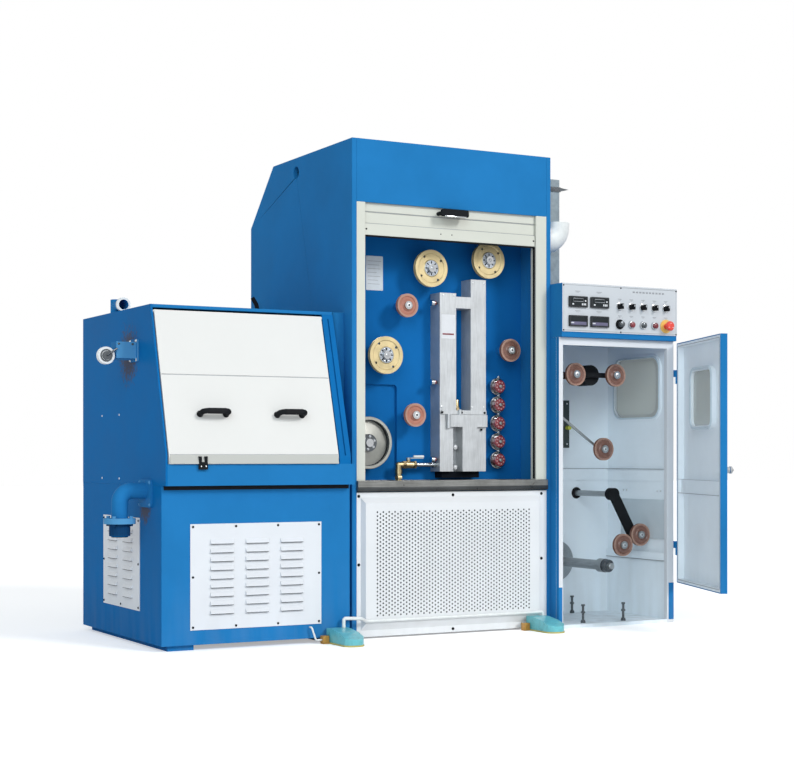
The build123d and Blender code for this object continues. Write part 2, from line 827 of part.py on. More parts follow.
def inlet_bracket():
    """A block on the left wall, with an arm and the stud of the guide wheel."""
    plate_x = drawing_left - 6
    half = inlet_width / 2
    body = rounded_x(inlet_y - 40, inlet_y + 40, inlet_z - 42, inlet_z + 42, 8, plate_x, drawing_left)
    body += block(drawing_left - inlet_reach, plate_x, inlet_y - half, inlet_y + half, inlet_z - half, inlet_z + half)
    wheel_back = inlet_wheel_y + inlet_wheel_thick / 2
    seat = wheel_back + 8
    body += block(inlet_wheel_x - 14, plate_x, seat, seat + 8, inlet_wheel_z - 14, inlet_wheel_z + 14)
    body += stud(inlet_wheel_x, inlet_wheel_z, inlet_wheel_y - inlet_wheel_thick / 2, wheel_back, seat)
    return body


def inlet_wheel():
    return grooved_wheel(inlet_wheel_radius, inlet_wheel_thick, 18, 5, inlet_wheel_x, inlet_wheel_y, inlet_wheel_z)


def roof_vent():
    """A short vent pipe that rises from the roof and faces the front."""
    z = drawing_top + vent_rim
    inner = vent_radius - 5
    pipe = rod_y(vent_x, z, vent_radius, vent_y, vent_y + 66)
    pipe += rod_y(vent_x, z, vent_rim, vent_y - 14, vent_y)
    pipe += rod_z(vent_x, vent_y + 66, vent_radius, drawing_top, z + vent_radius)
    return pipe - rod_y(vent_x, z, inner, vent_y - 15, vent_y + 60)


# Take-up unit

def takeup_side_walls():
    left = block(takeup_left, takeup_inner_left, frame_back, takeup_wall_y, 0, takeup_top)
    right = block(takeup_inner_right, takeup_right, frame_back, takeup_wall_y, 0, takeup_top)
    inner = takeup_inner_right
    front, back = side_window_front - window_trim, side_window_back + window_trim
    low, high = side_window_low - window_trim, side_window_high + window_trim
    right += rounded_x(front, back, low, high, side_window_corner + window_trim, inner - trim_proud, inner)
    right += block(inner - rail_proud, inner, frame_back, takeup_wall_y, rail_low, rail_high)
    right += block(inner - skin, inner, frame_back, takeup_wall_y, takeup_floor_top, kick_top)
    right += rounded_x(access_front, access_back, access_low, access_high, 6, inner - skin, inner)
    right -= rounded_x(side_window_front, side_window_back, side_window_low, side_window_high,
                       side_window_corner, inner - trim_proud - 1, takeup_right + 1)
    return [left, right]


def takeup_floor():
    """The cabinet's floor, with four anchor studs and their nuts."""
    left, right = takeup_inner_left, takeup_inner_right
    floor = block(left, right - skin, frame_back, takeup_wall_y, 0, takeup_floor_top)
    floor += block(left, opening_right, takeup_front, frame_back, 0, takeup_floor_top)
    for x in stud_xs:
        for y in stud_ys:
            floor += rod_z(x, y, anchor_radius, takeup_floor_top, anchor_top)
            floor += rod_z(x, y, 10, takeup_floor_top, takeup_floor_top + 7)
            floor += rod_z(x, y, 9, 55, 61)
            floor += rod_z(x, y, 8, anchor_top - 6, anchor_top)
    return floor


def takeup_front_frame():
    left = block(takeup_left, takeup_inner_left, takeup_front, frame_back, 0, takeup_top)
    right = block(opening_right, takeup_right, takeup_front, frame_back, 0, takeup_top)
    top = block(takeup_left, takeup_right, takeup_front, frame_back, takeup_top - frame_top_rail, takeup_top)
    return left + right + top


def takeup_rear_housing():
    """The closed drive housing, whose front face is the cabinet's back wall."""
    body = block(takeup_left, takeup_right, takeup_wall_y, takeup_back, 0, takeup_top)
    body += block(takeup_inner_left, takeup_inner_right - rail_proud, takeup_wall_y - rail_proud, takeup_wall_y,
                  rail_low, rail_high)
    mouth = takeup_wall_y + rod_hole_deep
    body -= rod_y(traverse_x, traverse_z, rod_hole_radius, takeup_wall_y - 1, mouth)
    body -= rod_y(traverse_x, traverse_z, rod_radius + run_gap, mouth - 1, mouth + 2 * rod_spare)
    return body


def control_box():
    body = block(takeup_left, takeup_right, box_front, takeup_wall_y, takeup_top, box_top)
    body += block(takeup_left, takeup_right, box_front - box_plate, box_front, takeup_top + box_strip, box_top)
    return body


panel_face = box_front - box_plate


def panel_meters():
    """Four panel meters, each with a bezel round a sunk display."""
    made = []
    for x in meter_xs:
        for z in meter_zs:
            left, right = x - meter_width / 2, x + meter_width / 2
            low, high = z - meter_height / 2, z + meter_height / 2
            meter = rounded_y(left, right, low, high, 3, panel_face - 9, panel_face)
            meter -= block(left + 6, right - 6, panel_face - 10, panel_face - 7, low + 6, high - 6)
            made.append(meter)
    return made


def panel_controls():
    """Five knobs over a dial, three buttons and the emergency stop."""
    made = []
    face = panel_face
    for i in range(5):
        x = knob_first_x + i * knob_pitch
        knob = rod_y(x, knob_row_high, 15, face - 4, face) + rod_y(x, knob_row_high, 11, face - 14, face - 4)
        knob += block(x - 4, x + 4, face - 24, face - 14, knob_row_high - 11, knob_row_high + 11)
        made.append(knob)
        if i == 0:
            low = rod_y(x, knob_row_low, 20, face - 3, face) + rod_y(x, knob_row_low, 12, face - 20, face - 3)
        elif i < 4:
            low = rod_y(x, knob_row_low, 15, face - 6, face) + rod_y(x, knob_row_low, 11, face - 12, face - 6)
        else:
            low = rod_y(x, knob_row_low, 28, face - 3, face) + rod_y(x, knob_row_low, 12, face - 22, face - 3)
            low += turned_y([(0, 0), (17, 2), (20, 6), (20, 12), (12, 16), (0, 16)], x, face - 38, knob_row_low)
        made.append(low)
    return made


def side_window():
    g = run_gap
    inner = takeup_inner_right
    return rounded_x(side_window_front + g, side_window_back - g, side_window_low + g, side_window_high - g,
                     side_window_corner - g, inner + 7, inner + 12)


def door_at_rest(solid):
    """Turns a solid of the closed door to the open position."""
    return Pos(hinge_x, hinge_y, 0) * Rot(0, 0, door_open) * Pos(-hinge_x, -hinge_y, 0) * solid


window_left = door_right - door_window_left
window_right = door_right - door_window_right


def door_panel():
    """A tray shaped door with a rim, a stiffening rail, a window frame and hinge barrels."""
    back = door_front + skin
    tray = block(door_left, door_right, door_front, hinge_y, door_bottom, door_top)
    left, right = door_left + door_rim, door_right - door_rim
    tray -= block(left, right, back, hinge_y + 1, door_bottom + door_rim, door_top - door_rim)
    tray += block(left, right, back, back + 12, door_rail_low, door_rail_high)
    tray += rounded_y(window_left, window_right, door_window_low, door_window_high, 45, back, hinge_y - 6)
    tray -= rounded_y(window_left + window_trim, window_right - window_trim, door_window_low + window_trim,
                      door_window_high - window_trim, 45 - window_trim, door_front - 1, hinge_y + 1)
    for z in hinge_heights:
        tray += rod_z(hinge_x, hinge_y, hinge_radius, z - hinge_half, z)
        tray += block(door_right - 2, hinge_x, hinge_y - 6, hinge_y - 1, z - hinge_half, z)
    return door_at_rest(tray)


def door_window():
    rim = window_trim + run_gap
    glass = rounded_y(window_left + rim, window_right - rim, door_window_low + rim, door_window_high - rim,
                      45 - rim, door_front + 6, door_front + 11)
    return door_at_rest(glass)


def door_handle():
    """The lock's knob outside, and its cam inside."""
    x = door_left + lock_in
    knob = rod_y(x, lock_z, 12, door_front - 26, door_front) + rod_y(x, lock_z, 14, door_front - 26, door_front - 20)
    cam = rod_y(x, lock_z, 8, door_front + skin, hinge_y - 8)
    cam += block(x - 8, x + 70, hinge_y - 12, hinge_y - 8, lock_z - 14, lock_z + 8)
    return [door_at_rest(knob), door_at_rest(cam)]


def door_hinges():
    made = []
    for z in hinge_heights:
        low, high = z + run_gap, z + hinge_half
        lug = rod_z(hinge_x, hinge_y, hinge_radius, low, high)
        lug += block(takeup_right, hinge_x, hinge_y + 2, takeup_front + 6, low, high)
        made.append(lug)
    return made


def wheel_bracket():
    """A round boss on the back wall with the bar that carries the two top wheels."""
    half = 10
    body = rod_y(bracket_x, top_wheel_z, bracket_hub, bar_back, bar_back + bracket_hub_deep)
    body += rod_y(bracket_x, top_wheel_z, bracket_shaft, bar_back, takeup_wall_y)
    body += block(bracket_left, top_wheel_xs[1] + 14, bar_front, bar_back, top_wheel_z - half, top_wheel_z + half)
    for x in top_wheel_xs:
        body += stud(x, top_wheel_z, takeup_wire_plane - wheel_thick / 2, takeup_wire_plane + wheel_thick / 2,
                     bar_front)
    return body


arm_front, arm_back = 97, 113


def dancer_post():
    """The post that the dancer arm swings on, and its sensor box on the back wall."""
    x, z = dancer_pivot
    post = rod_y(x, z, 12, arm_front - 8, takeup_wall_y)
    post += rod_y(x, z, 16, arm_front - 9, arm_front - run_gap)
    post += rod_y(x, z, 18, arm_back + run_gap, takeup_wall_y)
    sensor = block(sensor_left, sensor_right, sensor_front, takeup_wall_y, sensor_low, sensor_high)
    sensor += prism_y([(sensor_left, sensor_low), (sensor_right - 45, sensor_low), (sensor_left, sensor_low - 45)],
                      sensor_front + 20, takeup_wall_y)
    sensor += rod_y(sensor_right - 12, sensor_tip_z, 9, sensor_front - 22, sensor_front)
    return [post, sensor]


def takeup_wheel(x, z, y):
    return grooved_wheel(wheel_radius, wheel_thick, 21, 5, x, y, z)


def dancer_arm():
    x, z = dancer_pivot
    wheel_x, wheel_z = dancer_wheel_centre
    front, back = arm_front + 4, arm_back - 4
    length = math.hypot(wheel_x - x, wheel_z - z)
    lean = math.degrees(math.atan2(z - wheel_z, wheel_x - x))
    body = rod_y(x, z, 24, arm_front, arm_back)
    body += Pos(x, 0, z) * Rot(0, lean, 0) * block(0, length, front, back, -4.5, 4.5)
    body += rod_y(wheel_x, wheel_z, 12, front, back)
    body -= rod_y(x, z, 12 + run_gap, arm_front - 5, arm_back + 5)
    body += stud(wheel_x, wheel_z, takeup_wire_plane - wheel_thick / 2, takeup_wire_plane + wheel_thick / 2, front)
    return body


def link_bar(start, end, width, front, back):
    """A flat bar from one centre to another, with round ends."""
    (x0, z0), (x1, z1) = start, end
    length = math.hypot(x1 - x0, z1 - z0)
    lean = math.degrees(math.atan2(z0 - z1, x1 - x0))
    bar = Pos(x0, 0, z0) * Rot(0, lean, 0) * block(0, length, front, back, -width / 2, width / 2)
    return bar + rod_y(x0, z0, width / 2, front, back) + rod_y(x1, z1, width / 2, front, back)


def traverse_arm():
    """The traverse rod with its boss, the arm and the fork that carries two wheels."""
    x, z = traverse_x, traverse_z
    body = rod_y(x, z, rod_radius, traverse_boss_y, takeup_wall_y + rod_spare)
    body += rod_y(x, z, 26, arm_front, traverse_boss_y + 10)
    body += link_bar((x, z), arm_joint, 42, arm_front, arm_back)
    for wheel_x, wheel_z in traverse_wheels:
        body += link_bar(arm_joint, (wheel_x, wheel_z), 28, arm_front, arm_back)
        body += stud(wheel_x, wheel_z, takeup_wire_plane - wheel_thick / 2,
                     takeup_wire_plane + wheel_thick / 2, arm_front)
    return body


def spool_spindle():
    """The spool's spindle: a drive flange, the shaft, a collar, a nut and the threaded nose."""
    nose = spindle_nose - takeup_wall_y
    nut = nose + 20
    collar = nose + 45
    outline = [(0, nose), (11, nose), (13, nose + 2), (13, nut), (24, nut), (26, nut + 3), (26, collar - 3),
               (24, collar), (28, collar + 1), (28, collar + 40), (spindle_radius, collar + 46),
               (spindle_radius, -34), (flange_radius * 0.5, -30), (flange_radius, -16), (flange_radius, -6),
               (30, -6), (30, -run_gap), (0, -run_gap)]
    return turned_y(outline, spindle_x, takeup_wall_y, spindle_z)


# Foot switches

def switch_outline(inset):
    """The foot switch's outline seen from above: square at the heel, round at the toe."""
    half = switch_width / 2 - inset
    straight = switch_toe - switch_length
    toe = inset - switch_length
    edge = Polyline((-half, straight), (-half, -inset), (half, -inset), (half, straight))
    arc = ThreePointArc((half, straight), (0, toe), (-half, straight))
    return make_face(edge + arc)


def foot_switch(lead_side):
    """A foot switch with its heel at the origin and its toe along -Y, standing on the floor."""
    base = extrude(switch_outline(0), switch_base)
    cover = Pos(0, 0, switch_base) * extrude(switch_outline(switch_inset), switch_heel_height - switch_base)
    over = switch_heel_height + 30
    cut = prism_x([(-45, switch_heel_height), (-110, 47), (-switch_length - 10, switch_toe_height - 3),
                   (-switch_length - 10, over), (-45, over)], -switch_width, switch_width)
    side = lead_side * switch_width / 2
    gland = block(min(side, side + lead_side * 24), max(side, side + lead_side * 24), -34, -6, 0, 30)
    return base + (cover - cut) + gland


def foot_switches():
    """One switch in front of the drawing unit, one with its heel at the perforated panel's bevel."""
    bevel_y = skin - bevel_run * (switch_heel_height - pan_low) / pan_low_bevel
    seat = bevel_y - run_gap * math.hypot(bevel_run, pan_low_bevel) / pan_low_bevel + switch_inset
    left = Pos(*left_switch, 0) * foot_switch(-1)
    right = Pos(right_switch_x, seat, 0) * foot_switch(-1)
    return [left, right]


def foot_switch_conduit():
    """The hose that joins both switches along the foot of the cover, and the left switch's lead."""
    x, y = left_switch
    top = switch_heel_height + run_gap
    over = top + 34
    run_y = -pan_raise - conduit_radius - run_gap
    end = right_switch_x + 32
    hose = tube([(x + 24, y - 20, top), (x + 24, y - 20, over), (x + 101, y - 12, over - 5),
                 (45, run_y, conduit_run_z), (end, run_y, conduit_run_z), (end, run_y, top)],
                conduit_radius, 9, (0, 0, 1))
    gland = x - switch_width / 2 - 24 - run_gap
    lead = tube([(gland, y - 20, 15), (gland - 24, y - 20, 15), (gland - 38, y - 14, 62),
                 (gland - 38, drawing_front, 62)], lead_radius, 8, (-1, 0, 0))
    return [hose, lead]


def make_parts():
    """Makes every piece, by the name of its file."""
    makers = [
        annealer_side_walls, annealer_hood, annealer_rear_cover, annealer_base, mounting_plate, sill_gutter,
        shutter_frame, roller_shutter, shutter_casing, perforated_panel, annealing_block, contact_terminals,
        cooling_pipe, valve_lever, shaft_bosses, steel_capstan, exhaust_elbow, trunking,
        drawing_base, drawing_rear_housing, drawing_side_plates, tank_trough, tank_lid, lid_handles,
        drawing_cones, louvre_panels, drain_pipe, inlet_bracket, inlet_wheel, roof_vent,
        takeup_side_walls, takeup_floor, takeup_front_frame, takeup_rear_housing, control_box, panel_meters,
        panel_controls, side_window, door_panel, door_window, door_handle, door_hinges, wheel_bracket,
        dancer_post, dancer_arm, traverse_arm, spool_spindle, foot_switches, foot_switch_conduit,
    ]
    made = {maker.__name__: maker() for maker in makers}
    for i in range(len(sheave_centres)):
        made[f"brass_sheave_{i + 1}"] = brass_sheave(i)
    for i in range(len(guide_centres)):
        made[f"guide_wheel_{i + 1}"] = guide_wheel(i)
    for i, (x, z) in enumerate(traverse_wheels):
        made[f"traverse_wheel_{i + 1}"] = takeup_wheel(x, z, takeup_wire_plane)
    for name, x in zip(("left", "right"), top_wheel_xs):
        made[f"top_wheel_{name}"] = takeup_wheel(x, top_wheel_z, takeup_wire_plane)
    made["dancer_wheel"] = takeup_wheel(*dancer_wheel_centre, takeup_wire_plane)
    return made


def place_and_write():
    """Moves everything so that the origin lies on the floor under the middle, and writes the files."""
    os.makedirs("parts", exist_ok=True)
    solids = {}
    for name, shape in make_parts().items():
        shapes = shape if isinstance(shape, list) else [shape]
        solids[name] = Compound(children=[solid for item in shapes for solid in item.solids()])
    boxes = [shape.bounding_box() for shape in solids.values()]
    middle_x = (min(b.min.X for b in boxes) + max(b.max.X for b in boxes)) / 2
    middle_y = (min(b.min.Y for b in boxes) + max(b.max.Y for b in boxes)) / 2
    for name, shape in solids.items():
        export_step(Pos(-middle_x, -middle_y, 0) * shape, f"parts/{name}.step")
    return middle_x, middle_y, 0


origin = place_and_write()
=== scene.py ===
import math

import bmesh
import bpy
from mathutils import Matrix, Vector


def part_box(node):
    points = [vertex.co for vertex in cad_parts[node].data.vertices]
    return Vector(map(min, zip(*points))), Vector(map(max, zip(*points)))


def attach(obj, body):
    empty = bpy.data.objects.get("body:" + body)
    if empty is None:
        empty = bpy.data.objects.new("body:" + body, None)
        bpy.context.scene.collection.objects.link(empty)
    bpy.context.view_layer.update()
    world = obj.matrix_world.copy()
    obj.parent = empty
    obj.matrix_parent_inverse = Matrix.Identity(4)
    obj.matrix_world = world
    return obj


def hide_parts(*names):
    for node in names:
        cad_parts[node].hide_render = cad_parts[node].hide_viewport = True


bl_info = {
    "name": "Wire Drawing Machine",
    "version": (1, 0, 0),
    "blender": (4, 5, 0),
    "location": "View3D > Sidebar > Wire Machine",
    "description": "Finishes the wire drawing machine round its packed frame",
    "category": "Object",
}

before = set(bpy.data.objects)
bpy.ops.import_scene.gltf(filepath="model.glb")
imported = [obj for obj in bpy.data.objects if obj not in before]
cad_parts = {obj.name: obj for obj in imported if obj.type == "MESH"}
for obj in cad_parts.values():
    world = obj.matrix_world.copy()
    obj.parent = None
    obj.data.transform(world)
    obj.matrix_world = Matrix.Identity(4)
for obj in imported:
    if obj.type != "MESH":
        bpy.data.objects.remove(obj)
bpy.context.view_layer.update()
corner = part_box("annealer_side_walls")[0]

# Machine millimetres, from the annealer's front left bottom corner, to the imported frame's metres
TO_FRAME = Matrix.Translation((corner.x, corner.y, 0)) @ Matrix.Scale(0.001, 4)
HINGE = Vector((1486, -65, 0))
DOOR_TURN = math.radians(68.5)
OPENED = Matrix.Translation(HINGE) @ Matrix.Rotation(DOOR_TURN, 4, "Z") @ Matrix.Translation(-HINGE)
TO_DOOR = TO_FRAME @ OPENED

# Directions in the machine's frame
FRONT, BACK = (0, -1, 0), (0, 1, 0)
LEFT, RIGHT = (-1, 0, 0), (1, 0, 0)
UP = (0, 0, 1)

# The photograph's camera: its eye in machine millimetres, its heading and its pixels
EYE = Vector((-2839.5, -5577.1, 698.6))
EYE_HEADING = -28.54
PHOTO_WIDTH = 794
FOCAL_PIXELS = 1655
HORIZON_PIXELS = 74
SENSOR_WIDTH = 36

# The door, as it is when closed
DOOR_FRONT, DOOR_BACK = -92, -65
DOOR_LEFT, DOOR_RIGHT = 903, 1478
DOOR_LOW, DOOR_HIGH = 167, 1164
DOOR_LOCK = (DOOR_LEFT + 30, 641)

# The take-up cabinet and its control panel
TAKEUP_RIGHT = 1475
TAKEUP_TOP = 1172
RIGHT_WALL = 1449.9
WALL_Y = 377
WALL_SEAM_Z = 638
TAKEUP_WIRE_Y = 75
TAKEUP_WHEELS = {
    "top_wheel_left": (1072, 1032), "top_wheel_right": (1275, 1032), "dancer_wheel": (1214, 723),
    "traverse_wheel_1": (1402, 362), "traverse_wheel_2": (1312.5, 321),
}
SPINDLE = (1172, 243)
TRAVERSE_ROD = (1287, 534)
BOX_TOP = 1388
PANEL_FACE = -84
METER_XS, METER_ZS = (974, 1079), (1314, 1237)
METER_FLOOR = PANEL_FACE - 7.1
KNOB_XS = [1181.5 + 58.5 * i for i in range(5)]
KNOB_HIGH, KNOB_LOW = 1304, 1231

# The annealer's wheels, block and terminals
PLATE_Y = 190
WIRE_Y = 115
SHEAVES = [(407, 1437), (674, 1483), (205, 1088)]
GUIDES = [(301, 1286), (336, 856), (779, 1124)]
CAPSTAN = (133, 746)
BLOCK_RIGHT = 664
TERMINAL_X, TERMINAL_FACE = 750, 148
TERMINAL_ZS = [678 + 75 * i for i in range(5)]

# The drawing unit: its sloped lid, its handles, its louvre plates and the inlet wheel
UNIT_LEFT = -778
SLOPE_LOW = Vector((0, -88, 697))
SLOPE_HIGH = Vector((0, 68, 1242))
SLOPE_UP = (SLOPE_HIGH - SLOPE_LOW).normalized()
SLOPE_OUT = Vector((0, -SLOPE_UP.z, SLOPE_UP.y))
HANDLE_UP = 0.272 * (SLOPE_HIGH - SLOPE_LOW).length
HANDLE_XS = (-583, -281)
HANDLE_FOOT, HANDLE_REACH = 50, 40
LID_LEFT, LID_RIGHT = -763, -103
LOUVRE_FACE = -48.1
LOUVRE_HALF = 43
FRONT_LOUVRES = {"middle": (-411, 262.5), "pitch": (138, 31.4), "columns": 3, "rows": 9}
SIDE_LOUVRES = {"middle": (379, 299), "pitch": (170, 34), "columns": 2, "rows": 8}
INLET_WHEEL = (-897, 201, 1060)

# The foot switches
SWITCH_XS = (-93, 813)


class MachineColours(bpy.types.PropertyGroup):
    """Colours of the paints, plastics and metals."""
    blue: bpy.props.FloatVectorProperty(
        name="Blue", description="Blue powder coat of the cabinets", subtype="COLOR", size=4,
        min=0, max=1, default=(0.018, 0.175, 0.43, 1))
    white: bpy.props.FloatVectorProperty(
        name="White", description="White coat of the covers", subtype="COLOR", size=4,
        min=0, max=1, default=(0.70, 0.71, 0.74, 1))
    cream: bpy.props.FloatVectorProperty(
        name="Cream", description="Cream coat of the shutter and its frame", subtype="COLOR", size=4,
        min=0, max=1, default=(0.60, 0.60, 0.53, 1))
    interior: bpy.props.FloatVectorProperty(
        name="Interior", description="Pale coat inside the take-up cabinet", subtype="COLOR", size=4,
        min=0, max=1, default=(0.86, 0.92, 0.97, 1))
    ceramic: bpy.props.FloatVectorProperty(
        name="Wheel coating", description="Orange coating of the guide wheels", subtype="COLOR", size=4,
        min=0, max=1, default=(0.40, 0.16, 0.11, 1))
    brass: bpy.props.FloatVectorProperty(
        name="Brass", description="Brass of the sheaves and the valve", subtype="COLOR", size=4,
        min=0, max=1, default=(0.58, 0.47, 0.26, 1))
    steel: bpy.props.FloatVectorProperty(
        name="Steel", description="Turned and brushed steel", subtype="COLOR", size=4,
        min=0, max=1, default=(0.70, 0.71, 0.72, 1))
    teal: bpy.props.FloatVectorProperty(
        name="Teal", description="Cast covers of the foot switches", subtype="COLOR", size=4,
        min=0, max=1, default=(0.13, 0.48, 0.53, 1))


class MachineSizes(bpy.types.PropertyGroup):
    """Sizes of the small pieces that are made here."""
    hole_radius: bpy.props.FloatProperty(
        name="Hole radius", description="Radius of the cover's round holes, in millimetres",
        default=3.6, min=1, max=5)
    hole_pitch: bpy.props.FloatProperty(
        name="Hole pitch", description="Distance from hole to hole in a column, in millimetres",
        default=15.1, min=8, max=40)
    column_pitch: bpy.props.FloatProperty(
        name="Column pitch", description="Distance between columns of holes, in millimetres",
        default=12.7, min=8, max=40)
    cover_columns: bpy.props.IntProperty(
        name="Hole columns", description="Columns of holes in the cover", default=55, min=5, max=60)
    edge_round: bpy.props.FloatProperty(
        name="Edge round", description="Radius of the folded sheet edges", subtype="DISTANCE",
        default=0.0016, min=0.0002, max=0.005)
    seal_width: bpy.props.FloatProperty(
        name="Seal width", description="Width of the window seals, in millimetres", default=8, min=4, max=30)


# Shader node groups

def new_group(name, inputs, outputs):
    """A shader node group with named sockets, its input node and its output node."""
    group = bpy.data.node_groups.new(name, "ShaderNodeTree")
    for label, kind, value in inputs:
        socket = group.interface.new_socket(name=label, in_out="INPUT", socket_type="NodeSocket" + kind)
        socket.default_value = value
    for label, kind in outputs:
        group.interface.new_socket(name=label, in_out="OUTPUT", socket_type="NodeSocket" + kind)
    return group, group.nodes.new("NodeGroupInput"), group.nodes.new("NodeGroupOutput")


def add_node(tree, kind, inputs=None, **settings):
    """A node with its settings, and with each input given as a value or as a socket to link from."""
    made = tree.nodes.new("ShaderNode" + kind)
    for name, value in settings.items():
        setattr(made, name, value)
    for name, value in (inputs or {}).items():
        if isinstance(value, bpy.types.NodeSocket):
            tree.links.new(value, made.inputs[name])
        else:
            made.inputs[name].default_value = value
    return made


def remap(tree, value, low, high, to_low, to_high):
    """A value stretched from one range to another."""
    made = add_node(tree, "MapRange", {"Value": value, "From Min": low, "From Max": high,
                                       "To Min": to_low, "To Max": to_high})
    return made.outputs["Result"]


def blend_colour(tree, factor, first, second):
    """The first colour, turning into the second as the factor grows."""
    made = add_node(tree, "Mix", data_type="RGBA")
    for socket, value in ((made.inputs[0], factor), (made.inputs[6], first), (made.inputs[7], second)):
        if isinstance(value, bpy.types.NodeSocket):
            tree.links.new(value, socket)
        else:
            socket.default_value = value
    return made.outputs[2]


def scale_value(tree, colour, value):
    """The colour made lighter or darker."""
    made = add_node(tree, "HueSaturation", {"Color": colour, "Value": value})
    return made.outputs["Color"]


def calculate(tree, operation, *values, clamp=False):
    """The result of a Math node on numbers or sockets."""
    return add_node(tree, "Math", dict(enumerate(values)), operation=operation, use_clamp=clamp).outputs[0]


def noise(tree, place, scale, detail, roughness=0.5):
    """Cloudy noise at a place, from about 0.3 to 0.7."""
    made = add_node(tree, "TexNoise", {"Vector": place, "Scale": scale, "Detail": detail,
                                       "Roughness": roughness})
    return made.outputs["Fac"]


def vary(tree, factor, low, high, amount):
    """One, less or more by the amount as the factor goes from low to high."""
    least = calculate(tree, "SUBTRACT", 1.0, amount)
    most = calculate(tree, "ADD", 1.0, amount)
    return remap(tree, factor, low, high, least, most)


def coat_group():
    """Sprayed coat: slow colour drift, orange peel, and dust near the floor and on level faces."""
    group, given, out = new_group(
        "Sprayed Coat",
        [("Color", "Color", (0.8, 0.8, 0.8, 1)), ("Dust Color", "Color", (0.42, 0.40, 0.36, 1)),
         ("Drift", "Float", 0.06), ("Dust", "Float", 0.3), ("Peel Scale", "Float", 260.0),
         ("Smooth", "Float", 0.3), ("Rough", "Float", 0.45), ("Stain Place", "Vector", (0.0, 0.0, -9.0)),
         ("Stain Reach", "Float", 0.05), ("Stain Color", "Color", (0.085, 0.065, 0.055, 1))],
        [("Color", "Color"), ("Roughness", "Float"), ("Height", "Float")])
    place = add_node(group, "TexCoord").outputs["Object"]
    broad = noise(group, place, 3.2, 4.0, 0.6)
    drift = vary(group, broad, 0.3, 0.7, given.outputs["Drift"])
    drifted = scale_value(group, given.outputs["Color"], drift)
    streak_place = add_node(group, "Mapping", {"Vector": place, "Scale": (9.0, 9.0, 1.3)}).outputs["Vector"]
    patch = remap(group, noise(group, streak_place, 2.0, 5.0), 0.38, 0.72, 0.0, 1.0)
    height = add_node(group, "SeparateXYZ", {"Vector": place}).outputs["Z"]
    near_floor = remap(group, height, 0.0, 0.34, 1.0, 0.0)
    normal = add_node(group, "NewGeometry").outputs["Normal"]
    facing = add_node(group, "SeparateXYZ", {"Vector": normal}).outputs["Z"]
    level = remap(group, facing, 0.75, 1.0, 0.0, 0.5)
    floor_dust = calculate(group, "MULTIPLY", near_floor, patch)
    level_dust = calculate(group, "MULTIPLY", level, patch)
    both = calculate(group, "ADD", floor_dust, level_dust)
    dust = calculate(group, "MULTIPLY", both, given.outputs["Dust"], clamp=True)
    dusted = blend_colour(group, dust, drifted, given.outputs["Dust Color"])
    away = add_node(group, "VectorMath", {0: place, 1: given.outputs["Stain Place"]}, operation="DISTANCE")
    wander = remap(group, noise(group, place, 60.0, 6.0, 0.75), 0.3, 0.7, -0.6, 0.6)
    reach = calculate(group, "DIVIDE", away.outputs["Value"], given.outputs["Stain Reach"])
    stain = remap(group, calculate(group, "ADD", reach, wander), 0.6, 1.1, 0.8, 0.0)
    stained = blend_colour(group, stain, dusted, given.outputs["Stain Color"])
    rough = remap(group, broad, 0.3, 0.7, given.outputs["Smooth"], given.outputs["Rough"])
    dusty = calculate(group, "MULTIPLY_ADD", dust, 0.35, rough, clamp=True)
    group.links.new(stained, out.inputs["Color"])
    group.links.new(dusty, out.inputs["Roughness"])
    group.links.new(noise(group, place, given.outputs["Peel Scale"], 1.0), out.inputs["Height"])
    return group


def brushed_group():
    """Ground or rolled metal: fine streaks along one direction and cloudy stains."""
    group, given, out = new_group(
        "Brushed Metal",
        [("Color", "Color", (0.7, 0.7, 0.7, 1)), ("Grain", "Vector", (40.0, 40.0, 900.0)),
         ("Contrast", "Float", 0.12), ("Smooth", "Float", 0.25), ("Rough", "Float", 0.45)],
        [("Color", "Color"), ("Roughness", "Float"), ("Height", "Float")])
    place = add_node(group, "TexCoord").outputs["Object"]
    along = add_node(group, "Mapping", {"Vector": place, "Scale": given.outputs["Grain"]}).outputs["Vector"]
    grain = noise(group, along, 1.0, 3.0)
    cloud = noise(group, place, 14.0, 5.0, 0.65)
    drift = vary(group, calculate(group, "ADD", grain, cloud), 0.7, 1.3, given.outputs["Contrast"])
    rough = remap(group, cloud, 0.3, 0.7, given.outputs["Smooth"], given.outputs["Rough"])
    group.links.new(scale_value(group, given.outputs["Color"], drift), out.inputs["Color"])
    group.links.new(rough, out.inputs["Roughness"])
    group.links.new(grain, out.inputs["Height"])
    return group


